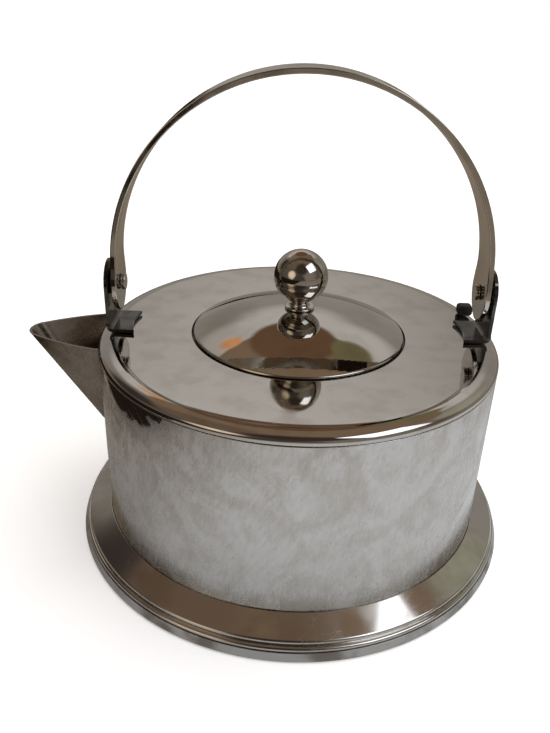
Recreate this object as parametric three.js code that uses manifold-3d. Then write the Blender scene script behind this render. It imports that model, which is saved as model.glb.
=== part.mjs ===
// Stovetop kettle in polished stainless sheet: a low round drum on a flared foot, a flush
// domed lid with a ball knob, a folded open spout, and a flat bail handle between two ears.
// Millimetres, +Z up. The origin is the centre of the underside and the spout points to -X.

import * as THREE from 'three';
import { mergeVertices } from 'three/addons/utils/BufferGeometryUtils.js';
import Module from 'manifold-3d';

const wasm = await Module();
wasm.setup();

// Driving dimensions of the whole kettle
const bodyRadius = 93;
const deckHeight = 102;
const pivotRise = 21.3;
const handleLegRise = 9.7;
const sheet = 1;
const seatGap = 0.3;
const overrun = 20;

// Facets of the round pieces
const drumFacets = 60;
const lidFacets = 40;
const pinFacets = 24;

// Base: outer plate with a turned-up edge, aluminium core, floor pan and flared foot ring
const footFlare = 14.1;
const plateEdgeHeight = 4.8;
const plateEdgeLean = 20;
const plateCorner = 1.6;
const coreThickness = 3;
const coreInset = 1.6;
const floorCorner = 3;
const floorFlange = 8;
const footTop = 14.9;
const footRidgeInset = 4.2;
const footRidgeHeight = 9.5;
const footRidge = 1.3;
const footRidgeStart = 63;
const footRidgeEnd = -45;
const footBead = 1.3;
const footBeadInset = 1.4;
const footBeadStart = 115;
const footBeadEnd = -16;

// Deck: flat top with a rounded rim, and a joggled flange that slips inside the wall
const rimRadius = 4;
const rimLand = 1.2;
const deckFlange = 5.5;

// Lid, its seat and its skirt
const lidRadius = 49.4;
const lidRise = 11;
const lidLip = 2.2;
const lidPlay = 1;
const seatFlange = 6;
const ledgeWidth = 3.2;
const guideDepth = 7.5;
const skirtPlay = 0.6;
const skirtDepth = 8;

// Ball knob and the screw that holds it
const knobRadius = 12.5;
const knobCentre = 15.4;
const knobSeatRadius = 5;
const knobWaist = 4.4;
const footRingRadius = 7;
const footRingHeight = 1.3;
const footRingEdge = 0.4;
const screwRadius = 2;
const screwReach = 7;
const screwHeadRadius = 3.8;
const screwHeadHeight = 2.2;
const lockWasherRadius = 4.6;
const lockWasherThickness = 0.8;

// Spout: an open half cone folded from sheet, and the port behind it in the wall
const spoutDrop = 4;
const spoutDepth = 54;
const spoutReach = 34.8;
const spoutHalfWidth = 21;
const spoutNoseRadius = 9;
const spoutSideCrown = 1.2;
const portMargin = 2.4;
const portHalfWidth = 14;
const portHeight = 31;
const portCorner = 5;

// Bail handle: a flat strap bent to an arch, with a leaf-shaped eye at each end
const strapSpace = 2.1;
const strapThickness = 2.4;
const strapWidth = 20;
const eyeWidth = 24;
const eyeRise = 17;
const eyeDrop = 13.6;
const eyeTipWidth = 5;

// Ears that carry the handle, and their rivets
const earSheet = 1.5;
const earInset = 0.4;
const tongueWidth = 21;
const footPlateWidth = 22.6;
const footPlateLength = 10.6;
const wingReach = 1.9;
const earBend = 3;
const tongueFillet = 0.8;
const rivetRadius = 2.5;
const runningPlay = 0.1;
const rivetHeadRadius = 3.8;
const rivetHeadThickness = 1.8;
const outerHeadRadius = 4.6;
const outerHeadRise = 1.4;
const spacerRadius = 6;

// Rubber bumper on the deck beside the rear ear, under the handle when it is folded back
const bumperLength = 7.2;
const bumperWidth = 5.5;
const bumperHeight = 5.2;
const bumperCorner = 1.6;
const bumperInset = 4.6;
const bumperClearance = 9.2;

// Heights and radii that follow from the dimensions above
const plateRadius = bodyRadius + footFlare;
const footRidgeRadius = plateRadius - footRidgeInset;
const footBeadRadius = plateRadius - footBeadInset;
const coreBottom = sheet;
const coreTop = coreBottom + coreThickness;
const wallFoot = coreTop + seatGap;
const rimCentre = bodyRadius - rimRadius;
const rimFoot = deckHeight - rimRadius - rimLand;
const wallTop = rimFoot - seatGap;
const flangeRadius = bodyRadius - sheet - seatGap;
const openingRadius = lidRadius + lidPlay;
const ledgeTop = deckHeight - lidLip - seatGap;
const guideRadius = openingRadius - ledgeWidth;
const domeRadius = (lidRadius ** 2 + lidRise ** 2) / (2 * lidRise);
const domeApex = deckHeight + lidRise;
const domeCentre = domeApex - domeRadius;
const screwHole = screwRadius + seatGap;
const knobCentreHeight = domeApex + knobCentre;
const knobSeat = knobCentreHeight - Math.sqrt(knobRadius ** 2 - knobSeatRadius ** 2);
const footRingTop = domeApex + footRingHeight;
const spoutTop = deckHeight - spoutDrop;
const keelFoot = spoutTop - spoutDepth;
const pivotHeight = deckHeight + pivotRise;
const earOuter = rimCentre - earInset;
const earTop = pivotHeight + tongueWidth / 2;
const tongueInner = earOuter - earSheet;
const plateTop = deckHeight + seatGap + earSheet;
const footPlateInner = earOuter - footPlateLength;
const strapOuter = tongueInner - strapSpace;
const strapInner = strapOuter - strapThickness;
const archCentre = pivotHeight + handleLegRise;
const archTop = archCentre + strapOuter;
const bumperX = earOuter - bumperInset;
const bumperY = footPlateWidth / 2 + bumperClearance + bumperWidth / 2;

// Finishes
const finishes = {
  satinSteel: { color: 0xb4b4ae, roughness: 0.38, metalness: 1 },
  mirrorSteel: { color: 0xc9c7c1, roughness: 0.12, metalness: 1 },
  greySteel: { color: 0x9a9a95, roughness: 0.5, metalness: 1 },
  aluminium: { color: 0xc4c6c8, roughness: 0.45, metalness: 1 },
  blackRubber: { color: 0x161616, roughness: 0.7, metalness: 0 },
};

// Points of an arc round a centre, from one angle to another in degrees
function arc(centreX, centreY, radius, from, to, steps) {
  return Array.from({ length: steps + 1 }, (unused, i) => {
    const angle = THREE.MathUtils.degToRad(from + ((to - from) * i) / steps);
    return [centreX + radius * Math.cos(angle), centreY + radius * Math.sin(angle)];
  });
}

// The path moved sideways by a distance, to the left of its own direction, with mitred corners
function offsetPath(path, distance) {
  const points = path.map(([x, y]) => new THREE.Vector2(x, y));
  const leftOf = (a, b) => {
    const along = b.clone().sub(a).normalize();
    return new THREE.Vector2(-along.y, along.x);
  };
  return points.map((point, i) => {
    const before = leftOf(points[Math.max(i - 1, 0)], points[Math.max(i, 1)]);
    const last = points.length - 1;
    const after = leftOf(points[Math.min(i, last - 1)], points[Math.min(i + 1, last)]);
    const mitre = before.clone().add(after).multiplyScalar(distance / (1 + before.dot(after)));
    return [point.x + mitre.x, point.y + mitre.y];
  });
}

// A sheet-metal section: the path and the same path moved by the sheet's thickness
function sheetSection(path, thickness) {
  return [...path, ...offsetPath(path, thickness).reverse()];
}

function signedArea(points) {
  return points.reduce((sum, [x, y], i) => {
    const [nextX, nextY] = points[(i + 1) % points.length];
    return sum + (x * nextY - nextX * y) / 2;
  }, 0);
}

// A profile of [radius, height] points turned round the Z axis. A profile that doesn't
// start and end on the axis is closed on itself.
function revolve(profile, facets) {
  const points = signedArea(profile) < 0 ? [...profile].reverse() : [...profile];
  const axisStart = points.findIndex(([r], i) => r === 0 && points[(i + 1) % points.length][0] > 0);
  const closed = axisStart < 0;
  const ordered = closed
    ? [...points, points[0]]
    : [...points.slice(axisStart), ...points.slice(0, axisStart)];
  const lathe = new THREE.LatheGeometry(ordered.map(([r, z]) => new THREE.Vector2(r, z)), facets);
  return toGeometry(toSolid(lathe.rotateX(Math.PI / 2)));
}

// A closed outline carried through a depth, centred on zero. The axis names the direction of
// the depth: 'z' takes (x, y) points, 'y' takes (x, z) points and 'x' takes (y, z) points.
function prism(outline, depth, axis) {
  const points = outline.map(([x, y]) => new THREE.Vector2(x, y));
  const geometry = new THREE.ExtrudeGeometry(new THREE.Shape(points), { depth, bevelEnabled: false });
  geometry.translate(0, 0, -depth / 2);
  if (axis === 'y') geometry.rotateX(Math.PI / 2);
  if (axis === 'x') geometry.rotateX(Math.PI / 2).rotateZ(Math.PI / 2);
  return geometry;
}

// A cone from a convex outline of [x, y] points at one height down to an apex
function coneOver(outline, height, apex) {
  const ring = signedArea(outline) < 0 ? [...outline].reverse() : outline;
  const positions = [...ring.flatMap(([x, y]) => [x, y, height]), ...apex];
  const tip = ring.length;
  const sides = ring.flatMap((unused, i) => [tip, (i + 1) % tip, i]);
  const lidFan = ring.slice(2).flatMap((unused, i) => [0, i + 1, i + 2]);
  const geometry = new THREE.BufferGeometry();
  geometry.setAttribute('position', new THREE.Float32BufferAttribute(positions, 3));
  geometry.setIndex([...sides, ...lidFan]);
  return geometry;
}

// A geometry as a closed solid: vertices welded, and triangles of no area left out
function toSolid(geometry) {
  const bare = geometry.clone();
  bare.deleteAttribute('normal');
  bare.deleteAttribute('uv');
  const welded = mergeVertices(bare);
  const index = welded.index.array;
  const triVerts = [];
  for (let i = 0; i < index.length; i += 3) {
    const [a, b, c] = [index[i], index[i + 1], index[i + 2]];
    if (a !== b && b !== c && c !== a) triVerts.push(a, b, c);
  }
  const vertProperties = Float32Array.from(welded.attributes.position.array);
  const mesh = new wasm.Mesh({ numProp: 3, vertProperties, triVerts: Uint32Array.from(triVerts) });
  return new wasm.Manifold(mesh);
}

function toGeometry(solid) {
  const mesh = solid.getMesh();
  const geometry = new THREE.BufferGeometry();
  geometry.setAttribute('position', new THREE.BufferAttribute(mesh.vertProperties, 3));
  geometry.setIndex(new THREE.BufferAttribute(mesh.triVerts, 1));
  const flat = geometry.toNonIndexed();
  flat.computeVertexNormals();
  return flat;
}

function cut(geometry, ...cutters) {
  return toGeometry(cutters.reduce((solid, cutter) => solid.subtract(toSolid(cutter)), toSolid(geometry)));
}

function common(geometry, ...others) {
  return toGeometry(others.reduce((solid, other) => solid.intersect(toSolid(other)), toSolid(geometry)));
}

// A round bar along X through the handle's pivot line
function pivotBar(radius, fromX, toX) {
  const profile = [[0, fromX], [radius, fromX], [radius, toX], [0, toX]];
  return revolve(profile, pinFacets).rotateY(Math.PI / 2).translate(0, 0, pivotHeight);
}

// Base plate: a shallow dish whose edge is turned up round a corner, and leans in at the top
function basePlate() {
  const cornerArc = arc(plateRadius - plateCorner, plateCorner, plateCorner, -90, plateEdgeLean, 3);
  const [cornerEnd, cornerTop] = cornerArc.at(-1);
  const lean = (plateEdgeHeight - cornerTop) * Math.tan(THREE.MathUtils.degToRad(plateEdgeLean));
  const path = [[0, 0], ...cornerArc, [cornerEnd - lean, plateEdgeHeight]];
  return revolve(sheetSection(path, sheet), drumFacets);
}

// Aluminium core that spreads the heat between the base plate and the floor
function heatCore() {
  const radius = plateRadius - plateCorner - coreInset;
  return revolve([[0, coreBottom], [radius, coreBottom], [radius, coreTop], [0, coreTop]], drumFacets);
}

// Floor pan: the drum's inner bottom, with a turned-up flange inside the wall
function floorPan() {
  const cornerArc = arc(flangeRadius - floorCorner, coreTop + floorCorner, floorCorner, -90, 0, 3);
  const path = [[0, coreTop], ...cornerArc, [flangeRadius, coreTop + floorFlange]];
  return revolve(sheetSection(path, sheet), drumFacets);
}

// Foot ring: a sloped band with a ridge, a groove and a bead, spun round the foot of the wall
function footRing() {
  const beadCentre = footBeadRadius - footBead;
  const beadHeight = plateEdgeHeight + seatGap - footBead * Math.sin(THREE.MathUtils.degToRad(footBeadEnd));
  const slope = (footTop - footRidgeHeight) / (footRidgeRadius - bodyRadius);
  const ridgeCentre = footRidgeHeight - footRidge;
  const path = [
    [bodyRadius - 2 * sheet, footTop + 2 * sheet * slope],
    ...arc(footRidgeRadius, ridgeCentre, footRidge, footRidgeStart, footRidgeEnd, 3),
    ...arc(beadCentre, beadHeight, footBead, footBeadStart, footBeadEnd, 4),
  ];
  return cut(revolve(sheetSection(path, -sheet), drumFacets), drumSpace());
}

// The space that the drum takes up, with the gap that its neighbours keep to it
function drumSpace() {
  const radius = bodyRadius + seatGap;
  const top = deckHeight + overrun;
  return revolve([[0, -overrun], [radius, -overrun], [radius, top], [0, top]], drumFacets);
}

// A polygon with each corner rounded by a short curve that starts a set distance from it
function roundedPolygon(corners, distance, steps) {
  const points = corners.map(([x, y]) => new THREE.Vector2(x, y));
  return points.flatMap((corner, i) => {
    const before = points[(i + points.length - 1) % points.length];
    const after = points[(i + 1) % points.length];
    const start = corner.clone().add(before.clone().sub(corner).setLength(distance));
    const end = corner.clone().add(after.clone().sub(corner).setLength(distance));
    const curve = new THREE.QuadraticBezierCurve(start, corner, end);
    return curve.getPoints(steps).map(({ x, y }) => [x, y]);
  });
}

// Drum wall, with the pour port cut through it behind the spout
function bodyWall() {
  const inner = bodyRadius - sheet;
  const tube = revolve(
    [[inner, wallFoot], [bodyRadius, wallFoot], [bodyRadius, wallTop], [inner, wallTop]],
    drumFacets,
  );
  const portTop = rimFoot - deckFlange - portMargin;
  const corners = [[-portHalfWidth, portTop], [0, portTop - portHeight], [portHalfWidth, portTop]];
  const port = prism(roundedPolygon(corners, portCorner, 5), overrun, 'x').translate(-bodyRadius, 0, 0);
  return cut(tube, port);
}

// Deck: the flat top from the lid's opening to the rounded rim and its joggled flange
function topDeck() {
  const path = [
    [openingRadius, deckHeight],
    ...arc(rimCentre, deckHeight - rimRadius, rimRadius, 90, 0, 5),
    [bodyRadius, rimFoot],
    [flangeRadius, rimFoot],
    [flangeRadius, rimFoot - deckFlange],
  ];
  return revolve(sheetSection(path, -sheet), drumFacets);
}

// Lid seat: soldered under the deck's opening, with the ledge that the lid rests on and a
// short guide tube for its skirt
function lidSeat() {
  const deckUnderside = deckHeight - sheet;
  const path = [
    [openingRadius + seatFlange, deckUnderside],
    [openingRadius, deckUnderside],
    [openingRadius, ledgeTop],
    [guideRadius, ledgeTop],
    [guideRadius, ledgeTop - guideDepth],
  ];
  return revolve(sheetSection(path, sheet), lidFacets);
}

// Height of the lid's underside at a radius
function domeUnderside(radius) {
  return domeCentre + Math.sqrt((domeRadius - sheet) ** 2 - radius ** 2);
}

// Lid: a shallow dome, flush with the deck at its edge, with a short turned-down lip
function lidDome() {
  const edgeAngle = THREE.MathUtils.radToDeg(Math.acos(lidRadius / domeRadius));
  const holeAngle = THREE.MathUtils.radToDeg(Math.acos(screwHole / domeRadius));
  const path = [
    ...arc(0, domeCentre, domeRadius, holeAngle, edgeAngle, 8),
    [lidRadius, deckHeight - lidLip],
  ];
  return revolve(sheetSection(path, -sheet), lidFacets);
}

// Lid skirt: the ring under the dome that drops into the seat's guide tube
function lidSkirt() {
  const outer = guideRadius - skirtPlay;
  const inner = outer - sheet;
  const foot = ledgeTop - skirtDepth + seatGap;
  const profile = [
    [inner, foot],
    [outer, foot],
    [outer, domeUnderside(outer) - seatGap],
    [inner, domeUnderside(inner) - seatGap],
  ];
  return revolve(profile, lidFacets);
}

// Ball knob, flattened where it sits on its neck and bored from below for the screw
function knobBall() {
  const seatAngle = THREE.MathUtils.radToDeg(Math.asin((knobSeat - knobCentreHeight) / knobRadius));
  const boreTop = knobSeat + screwReach + seatGap;
  const ball = arc(0, knobCentreHeight, knobRadius, seatAngle, 90, 12).slice(0, -1);
  const top = [0, knobCentreHeight + knobRadius];
  return revolve([[0, boreTop], [screwHole, boreTop], [screwHole, knobSeat], ...ball, top], pinFacets);
}

// Neck of the knob: a short waisted collar
function knobNeck() {
  const middle = (footRingTop + knobSeat) / 2;
  const profile = [
    [screwHole, footRingTop],
    [knobSeatRadius, footRingTop],
    [knobWaist, middle],
    [knobSeatRadius, knobSeat],
    [screwHole, knobSeat],
  ];
  return revolve(profile, pinFacets);
}

// Ring at the foot of the neck, with its upper edge broken
function knobFootRing() {
  const profile = [
    [screwHole, domeApex],
    [footRingRadius, domeApex],
    [footRingRadius, footRingTop - footRingEdge],
    [footRingRadius - footRingEdge, footRingTop],
    [screwHole, footRingTop],
  ];
  return revolve(profile, pinFacets);
}

const lockWasherTop = domeUnderside(screwHole) - seatGap;
const lockWasherFoot = lockWasherTop - lockWasherThickness;

function knobLockWasher() {
  const profile = [
    [screwHole, lockWasherFoot],
    [lockWasherRadius, lockWasherFoot],
    [lockWasherRadius, lockWasherTop],
    [screwHole, lockWasherTop],
  ];
  return revolve(profile, pinFacets);
}

// Screw from inside the lid, up through the washer, the lid, the ring and the neck
function knobScrew() {
  const profile = [
    [0, lockWasherFoot - screwHeadHeight],
    [screwHeadRadius, lockWasherFoot - screwHeadHeight],
    [screwHeadRadius, lockWasherFoot],
    [screwRadius, lockWasherFoot],
    [screwRadius, knobSeat + screwReach],
    [0, knobSeat + screwReach],
  ];
  return revolve(profile, pinFacets);
}

// Rim of the spout seen from above, from the near side round the nose to the far side. The
// sides run out from the nose's circle to the wall, each with a slight outward crown.
function spoutRim(nose, noseRadius, halfWidth) {
  const circleX = noseRadius - nose;
  const back = -bodyRadius + overrun / 2;
  const wallPoint = new THREE.Vector2(-bodyRadius, halfWidth);
  const toWall = wallPoint.clone().sub(new THREE.Vector2(circleX, 0));
  const touch = toWall.angle() + Math.acos(noseRadius / toWall.length());
  const touchPoint = new THREE.Vector2(Math.cos(touch), Math.sin(touch)).multiplyScalar(noseRadius);
  touchPoint.x += circleX;
  const side = wallPoint.clone().sub(touchPoint);
  const outward = new THREE.Vector2(-side.y, side.x).setLength(2 * spoutSideCrown);
  const control = touchPoint.clone().add(wallPoint).multiplyScalar(1 / 2).add(outward);
  const crown = new THREE.QuadraticBezierCurve(wallPoint, control, touchPoint).getPoints(5);
  const farSide = [[back, halfWidth], ...crown.map(({ x, y }) => [x, y])];
  const touchAngle = THREE.MathUtils.radToDeg(touch);
  const noseArc = arc(circleX, 0, noseRadius, touchAngle, 360 - touchAngle, 10).slice(1, -1);
  const nearSide = farSide.map(([x, y]) => [x, -y]).reverse();
  return [...farSide, ...noseArc, ...nearSide];
}

// Spout: a half cone of sheet that stands on its keel line and is open at the top and back
function spout() {
  const nose = bodyRadius + spoutReach;
  const keelSlope = (spoutTop - keelFoot) / spoutReach;
  const noseWall = sheet * Math.hypot(1, 1 / keelSlope);
  const outerApex = [-bodyRadius, 0, keelFoot];
  const innerApex = [-bodyRadius, 0, keelFoot + noseWall * keelSlope];
  const outer = coneOver(spoutRim(nose, spoutNoseRadius, spoutHalfWidth), spoutTop, outerApex);
  const innerRim = spoutRim(nose - noseWall, spoutNoseRadius - noseWall, spoutHalfWidth - noseWall);
  const grow = (spoutTop + overrun - innerApex[2]) / (spoutTop - innerApex[2]);
  const raisedRim = innerRim.map(([x, y]) => [innerApex[0] + (x - innerApex[0]) * grow, y * grow]);
  const inner = coneOver(raisedRim, spoutTop + overrun, innerApex);
  return cut(outer, inner, drumSpace());
}

// Outline of the strap seen along X: straight sides that swell into the eye and close at its tip
function strapOutline() {
  const half = strapWidth / 2;
  const eyeHalf = eyeWidth / 2;
  const swell = new THREE.CubicBezierCurve(
    new THREE.Vector2(half, pivotHeight + eyeRise),
    new THREE.Vector2(half, pivotHeight + eyeRise / 2),
    new THREE.Vector2(eyeHalf, pivotHeight + eyeRise / 3),
    new THREE.Vector2(eyeHalf, pivotHeight),
  );
  const close = new THREE.CubicBezierCurve(
    new THREE.Vector2(eyeHalf, pivotHeight),
    new THREE.Vector2(eyeHalf, pivotHeight - eyeDrop / 2),
    new THREE.Vector2(eyeTipWidth, pivotHeight - eyeDrop),
    new THREE.Vector2(0, pivotHeight - eyeDrop),
  );
  const right = [[half, archTop + overrun], ...swell.getPoints(5).map(({ x, y }) => [x, y])];
  const tip = close.getPoints(8).slice(1).map(({ x, y }) => [x, y]);
  const left = [...right, ...tip.slice(0, -1)].map(([x, y]) => [-x, y]).reverse();
  return [...right, ...tip, ...left];
}

// Bail handle: the arch band, cut to the strap's outline and drilled for both rivets
function handleStrap() {
  const foot = pivotHeight - eyeDrop - overrun;
  const outerArch = [[strapOuter, foot], ...arc(0, archCentre, strapOuter, 0, 180, 44), [-strapOuter, foot]];
  const innerArch = [[-strapInner, foot], ...arc(0, archCentre, strapInner, 180, 0, 44), [strapInner, foot]];
  const band = prism([...outerArch, ...innerArch], eyeWidth + overrun, 'y');
  const width = prism(strapOutline(), 2 * (strapOuter + overrun), 'x');
  const hole = pivotBar(rivetRadius + runningPlay, -strapOuter - overrun, strapOuter + overrun);
  return cut(common(band, width), hole);
}

// Ear: one bent plate. Its winged foot lies on the deck and its tongue stands up outside the
// strap. The section is carried across the ear and trimmed by the plan and the tongue's outline.
function ear() {
  const tongueHalf = tongueWidth / 2;
  const plateHalf = footPlateWidth / 2;
  const foot = deckHeight + seatGap;
  const bendCentre = [earOuter - earBend, foot + earBend];
  const section = [
    [footPlateInner - overrun, foot],
    ...arc(...bendCentre, earBend, -90, 0, 4),
    [earOuter, earTop + overrun],
    [tongueInner, earTop + overrun],
    ...arc(tongueInner - seatGap, plateTop + seatGap, seatGap, 0, -90, 2),
    [footPlateInner - overrun, plateTop],
  ];
  const wingTip = footPlateInner - wingReach;
  const innerEdge = new THREE.QuadraticBezierCurve(
    new THREE.Vector2(wingTip, plateHalf),
    new THREE.Vector2(footPlateInner + wingReach, 0),
    new THREE.Vector2(wingTip, -plateHalf),
  ).getPoints(8);
  const plan = [
    ...innerEdge.map(({ x, y }) => [x, y]),
    [earOuter + overrun, -plateHalf],
    [earOuter + overrun, plateHalf],
  ];
  const shoulder = foot + earBend + tongueFillet;
  const halfTongue = [
    [plateHalf, foot - overrun],
    [plateHalf, foot + earBend],
    ...arc(tongueHalf + tongueFillet, shoulder, tongueFillet, -90, -180, 3).slice(1),
    ...arc(0, earTop - tongueHalf, tongueHalf, 0, 90, 8),
  ];
  const tongue = [...halfTongue, ...halfTongue.slice(0, -1).map(([y, z]) => [-y, z]).reverse()];
  const blank = common(
    prism(section, footPlateWidth + overrun, 'y'),
    prism(plan, 2 * (earTop + overrun), 'z'),
    prism(tongue, 2 * (earOuter + overrun), 'x'),
  );
  const hole = pivotBar(rivetRadius + seatGap, tongueInner - overrun, earOuter + overrun);
  return cut(blank, hole);
}

// Pivot rivet: a low domed head outside the ear and a thick flat head inside the strap
function pivotRivet() {
  const innerHead = strapInner - seatGap;
  const outerHead = earOuter + seatGap;
  const domeBall = (outerHeadRadius ** 2 + outerHeadRise ** 2) / (2 * outerHeadRise);
  const domeTip = outerHead + outerHeadRise;
  const domeEdge = THREE.MathUtils.radToDeg(Math.asin((domeBall - outerHeadRise) / domeBall));
  const profile = [
    [0, innerHead - rivetHeadThickness],
    [rivetHeadRadius, innerHead - rivetHeadThickness],
    [rivetHeadRadius, innerHead],
    [rivetRadius, innerHead],
    [rivetRadius, outerHead],
    ...arc(0, domeTip - domeBall, domeBall, domeEdge, 90, 4).slice(0, -1),
    [0, domeTip],
  ];
  return revolve(profile, pinFacets).rotateY(Math.PI / 2).translate(0, 0, pivotHeight);
}

// Spacer washer that keeps the strap off the ear's tongue
function pivotSpacer() {
  const bore = rivetRadius + seatGap;
  const [from, to] = [strapOuter + seatGap, tongueInner - seatGap];
  const profile = [[bore, from], [spacerRadius, from], [spacerRadius, to], [bore, to]];
  return revolve(profile, pinFacets).rotateY(Math.PI / 2).translate(0, 0, pivotHeight);
}

// Rubber bumper: a block with rounded ends, standing on the deck behind the rear ear
function handleBumper() {
  const [x0, x1] = [-bumperLength / 2, bumperLength / 2];
  const corners = [[x0, 0], [x1, 0], [x1, bumperHeight], [x0, bumperHeight]];
  return prism(roundedPolygon(corners, bumperCorner, 4), bumperWidth, 'y');
}

function named(name, geometry, finish) {
  const mesh = new THREE.Mesh(geometry, new THREE.MeshStandardMaterial(finishes[finish]));
  mesh.name = name;
  return mesh;
}

// A piece made for the rear (+X) side, turned round to the spout's side as well
function pair(suffix, geometry, finish) {
  const rear = named(`rear_${suffix}`, geometry, finish);
  const front = named(`front_${suffix}`, geometry.clone(), finish);
  front.rotation.z = Math.PI;
  return [rear, front];
}

const drum = new THREE.Group();
drum.add(
  named('base_plate', basePlate(), 'greySteel'),
  named('heat_core', heatCore(), 'aluminium'),
  named('floor_pan', floorPan(), 'satinSteel'),
  named('foot_ring', footRing(), 'mirrorSteel'),
  named('body_wall', bodyWall(), 'satinSteel'),
  named('top_deck', topDeck(), 'mirrorSteel'),
  named('lid_seat', lidSeat(), 'satinSteel'),
  named('spout', spout(), 'satinSteel'),
  ...pair('ear', ear(), 'mirrorSteel'),
  ...pair('pivot_rivet', pivotRivet(), 'mirrorSteel'),
  ...pair('pivot_spacer', pivotSpacer(), 'greySteel'),
);

const bumper = named('handle_bumper', handleBumper(), 'blackRubber');
bumper.position.set(bumperX, bumperY, deckHeight + seatGap);
drum.add(bumper);

const lid = new THREE.Group();
lid.add(
  named('lid_dome', lidDome(), 'mirrorSteel'),
  named('lid_skirt', lidSkirt(), 'satinSteel'),
  named('knob_foot_ring', knobFootRing(), 'mirrorSteel'),
  named('knob_neck', knobNeck(), 'mirrorSteel'),
  named('knob_ball', knobBall(), 'mirrorSteel'),
  named('knob_lock_washer', knobLockWasher(), 'greySteel'),
  named('knob_screw', knobScrew(), 'greySteel'),
);

const kettle = new THREE.Group();
kettle.add(drum, lid, named('handle_strap', handleStrap(), 'mirrorSteel'));

export default kettle;
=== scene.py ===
"""A stovetop kettle of polished and satin stainless sheet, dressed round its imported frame."""

import logging
import math
from dataclasses import dataclass
from enum import Enum

import bpy
import numpy as np
from mathutils import Matrix, Vector


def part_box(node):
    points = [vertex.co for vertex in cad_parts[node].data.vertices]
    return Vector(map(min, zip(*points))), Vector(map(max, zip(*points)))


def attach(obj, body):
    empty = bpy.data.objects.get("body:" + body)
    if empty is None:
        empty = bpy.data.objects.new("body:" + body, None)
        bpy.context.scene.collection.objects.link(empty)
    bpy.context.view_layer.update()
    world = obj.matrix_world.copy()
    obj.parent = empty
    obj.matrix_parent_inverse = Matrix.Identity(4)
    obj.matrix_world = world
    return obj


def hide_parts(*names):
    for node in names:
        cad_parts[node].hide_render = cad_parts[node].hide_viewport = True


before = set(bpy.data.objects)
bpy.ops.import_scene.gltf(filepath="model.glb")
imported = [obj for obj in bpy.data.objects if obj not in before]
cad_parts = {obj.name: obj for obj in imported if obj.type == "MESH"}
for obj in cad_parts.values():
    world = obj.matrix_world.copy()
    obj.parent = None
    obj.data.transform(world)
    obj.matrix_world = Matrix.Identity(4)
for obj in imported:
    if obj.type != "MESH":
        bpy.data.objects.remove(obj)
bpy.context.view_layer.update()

MM = 0.001
FULL_TURN = 2 * math.pi
HALF_TURN = math.pi
QUARTER_TURN = math.pi / 2
WELD = 0.002 * MM
HOLD = 0.12 * MM
LONG_STRETCH = 6 * HOLD
SHARP_TURN = 25.0
BEVEL_TURN = 40.0
BEVEL_SEGMENTS = 3
log = logging.getLogger("kettle")


class Body(Enum):
    """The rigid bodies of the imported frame."""

    KETTLE = "kettle"
    HANDLE = "handle"
    LID = "lid"


class Side(Enum):
    """The two ends of the handle: the sign is the side of the drum along X."""

    REAR = 1
    FRONT = -1


# Reading the frame


@dataclass(frozen=True)
class Node:
    """The box that one CAD node fills at rest, in metres."""

    name: str

    @property
    def low(self) -> np.ndarray:
        """Lowest corner."""
        return np.array(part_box(self.name)[0])

    @property
    def high(self) -> np.ndarray:
        """Highest corner."""
        return np.array(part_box(self.name)[1])

    @property
    def radius(self) -> float:
        """Half the width across X."""
        return float(self.high[0] - self.low[0]) / 2

    @property
    def bottom(self) -> float:
        """Height of the lowest point."""
        return float(self.low[2])

    @property
    def top(self) -> float:
        """Height of the highest point."""
        return float(self.high[2])


# Curves and profiles


def arc(centre: tuple, radius: float, start: float, end: float, count: int) -> np.ndarray:
    """Points of an arc: centre plus radius times (cos, sin) of evenly spaced angles.

    Args:
        centre: the arc's centre in the plane.
        radius: its radius.
        start: first angle, in degrees.
        end: last angle, in degrees.
        count: number of points.

    Returns:
        An array of count points.
    """
    angle = np.radians(np.linspace(start, end, count))
    return np.column_stack([centre[0] + radius * np.cos(angle), centre[1] + radius * np.sin(angle)])


def bezier(points: list, count: int) -> np.ndarray:
    """Bernstein sum of a quadratic or cubic curve's control points.

    Args:
        points: three or four control points.
        count: number of points along the curve.

    Returns:
        An array of count points.
    """
    t = np.linspace(0, 1, count)[:, None]
    order = len(points) - 1
    return sum(
        math.comb(order, i) * (1 - t) ** (order - i) * t**i * np.array(point)
        for i, point in enumerate(points)
    )


def directions(path: np.ndarray) -> np.ndarray:
    """Unit steps between neighbouring points of a path."""
    step = np.diff(path, axis=0)
    return step / np.linalg.norm(step, axis=1, keepdims=True)


def shifted(path: np.ndarray, distance: float) -> np.ndarray:
    """The path moved to its left: each point slides along the mitre of its two neighbouring sides.

    Args:
        path: an open path in the plane.
        distance: how far it moves; a negative distance moves it to the right.

    Returns:
        The moved path, point for point.
    """
    step = directions(path)
    left = np.column_stack([-step[:, 1], step[:, 0]])
    before = np.vstack([left[:1], left])
    after = np.vstack([left, left[-1:]])
    mitre = (before + after) / (1 + np.sum(before * after, axis=1, keepdims=True))
    return path + distance * mitre


def column_of(first: np.ndarray, second: float) -> np.ndarray:
    """Flat points with one run of first values and the same second value."""
    return np.column_stack([first, np.full(len(first), second)])


def row_of(first: float, second: np.ndarray) -> np.ndarray:
    """Flat points with the same first value and one run of second values."""
    return np.column_stack([np.full(len(second), first), second])


def sheet_section(path: np.ndarray, thickness: float) -> np.ndarray:
    """Closed outline of a sheet: the path, then the same path moved by the thickness, backwards."""
    return np.vstack([path, shifted(path, thickness)[::-1]])


def washer_section(inner: float, outer: float, low: float, high: float) -> np.ndarray:
    """Closed rectangle of a washer: from its hole's radius to its own, and from low to high."""
    return np.array([[inner, low], [outer, low], [outer, high], [inner, high]])


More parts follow.
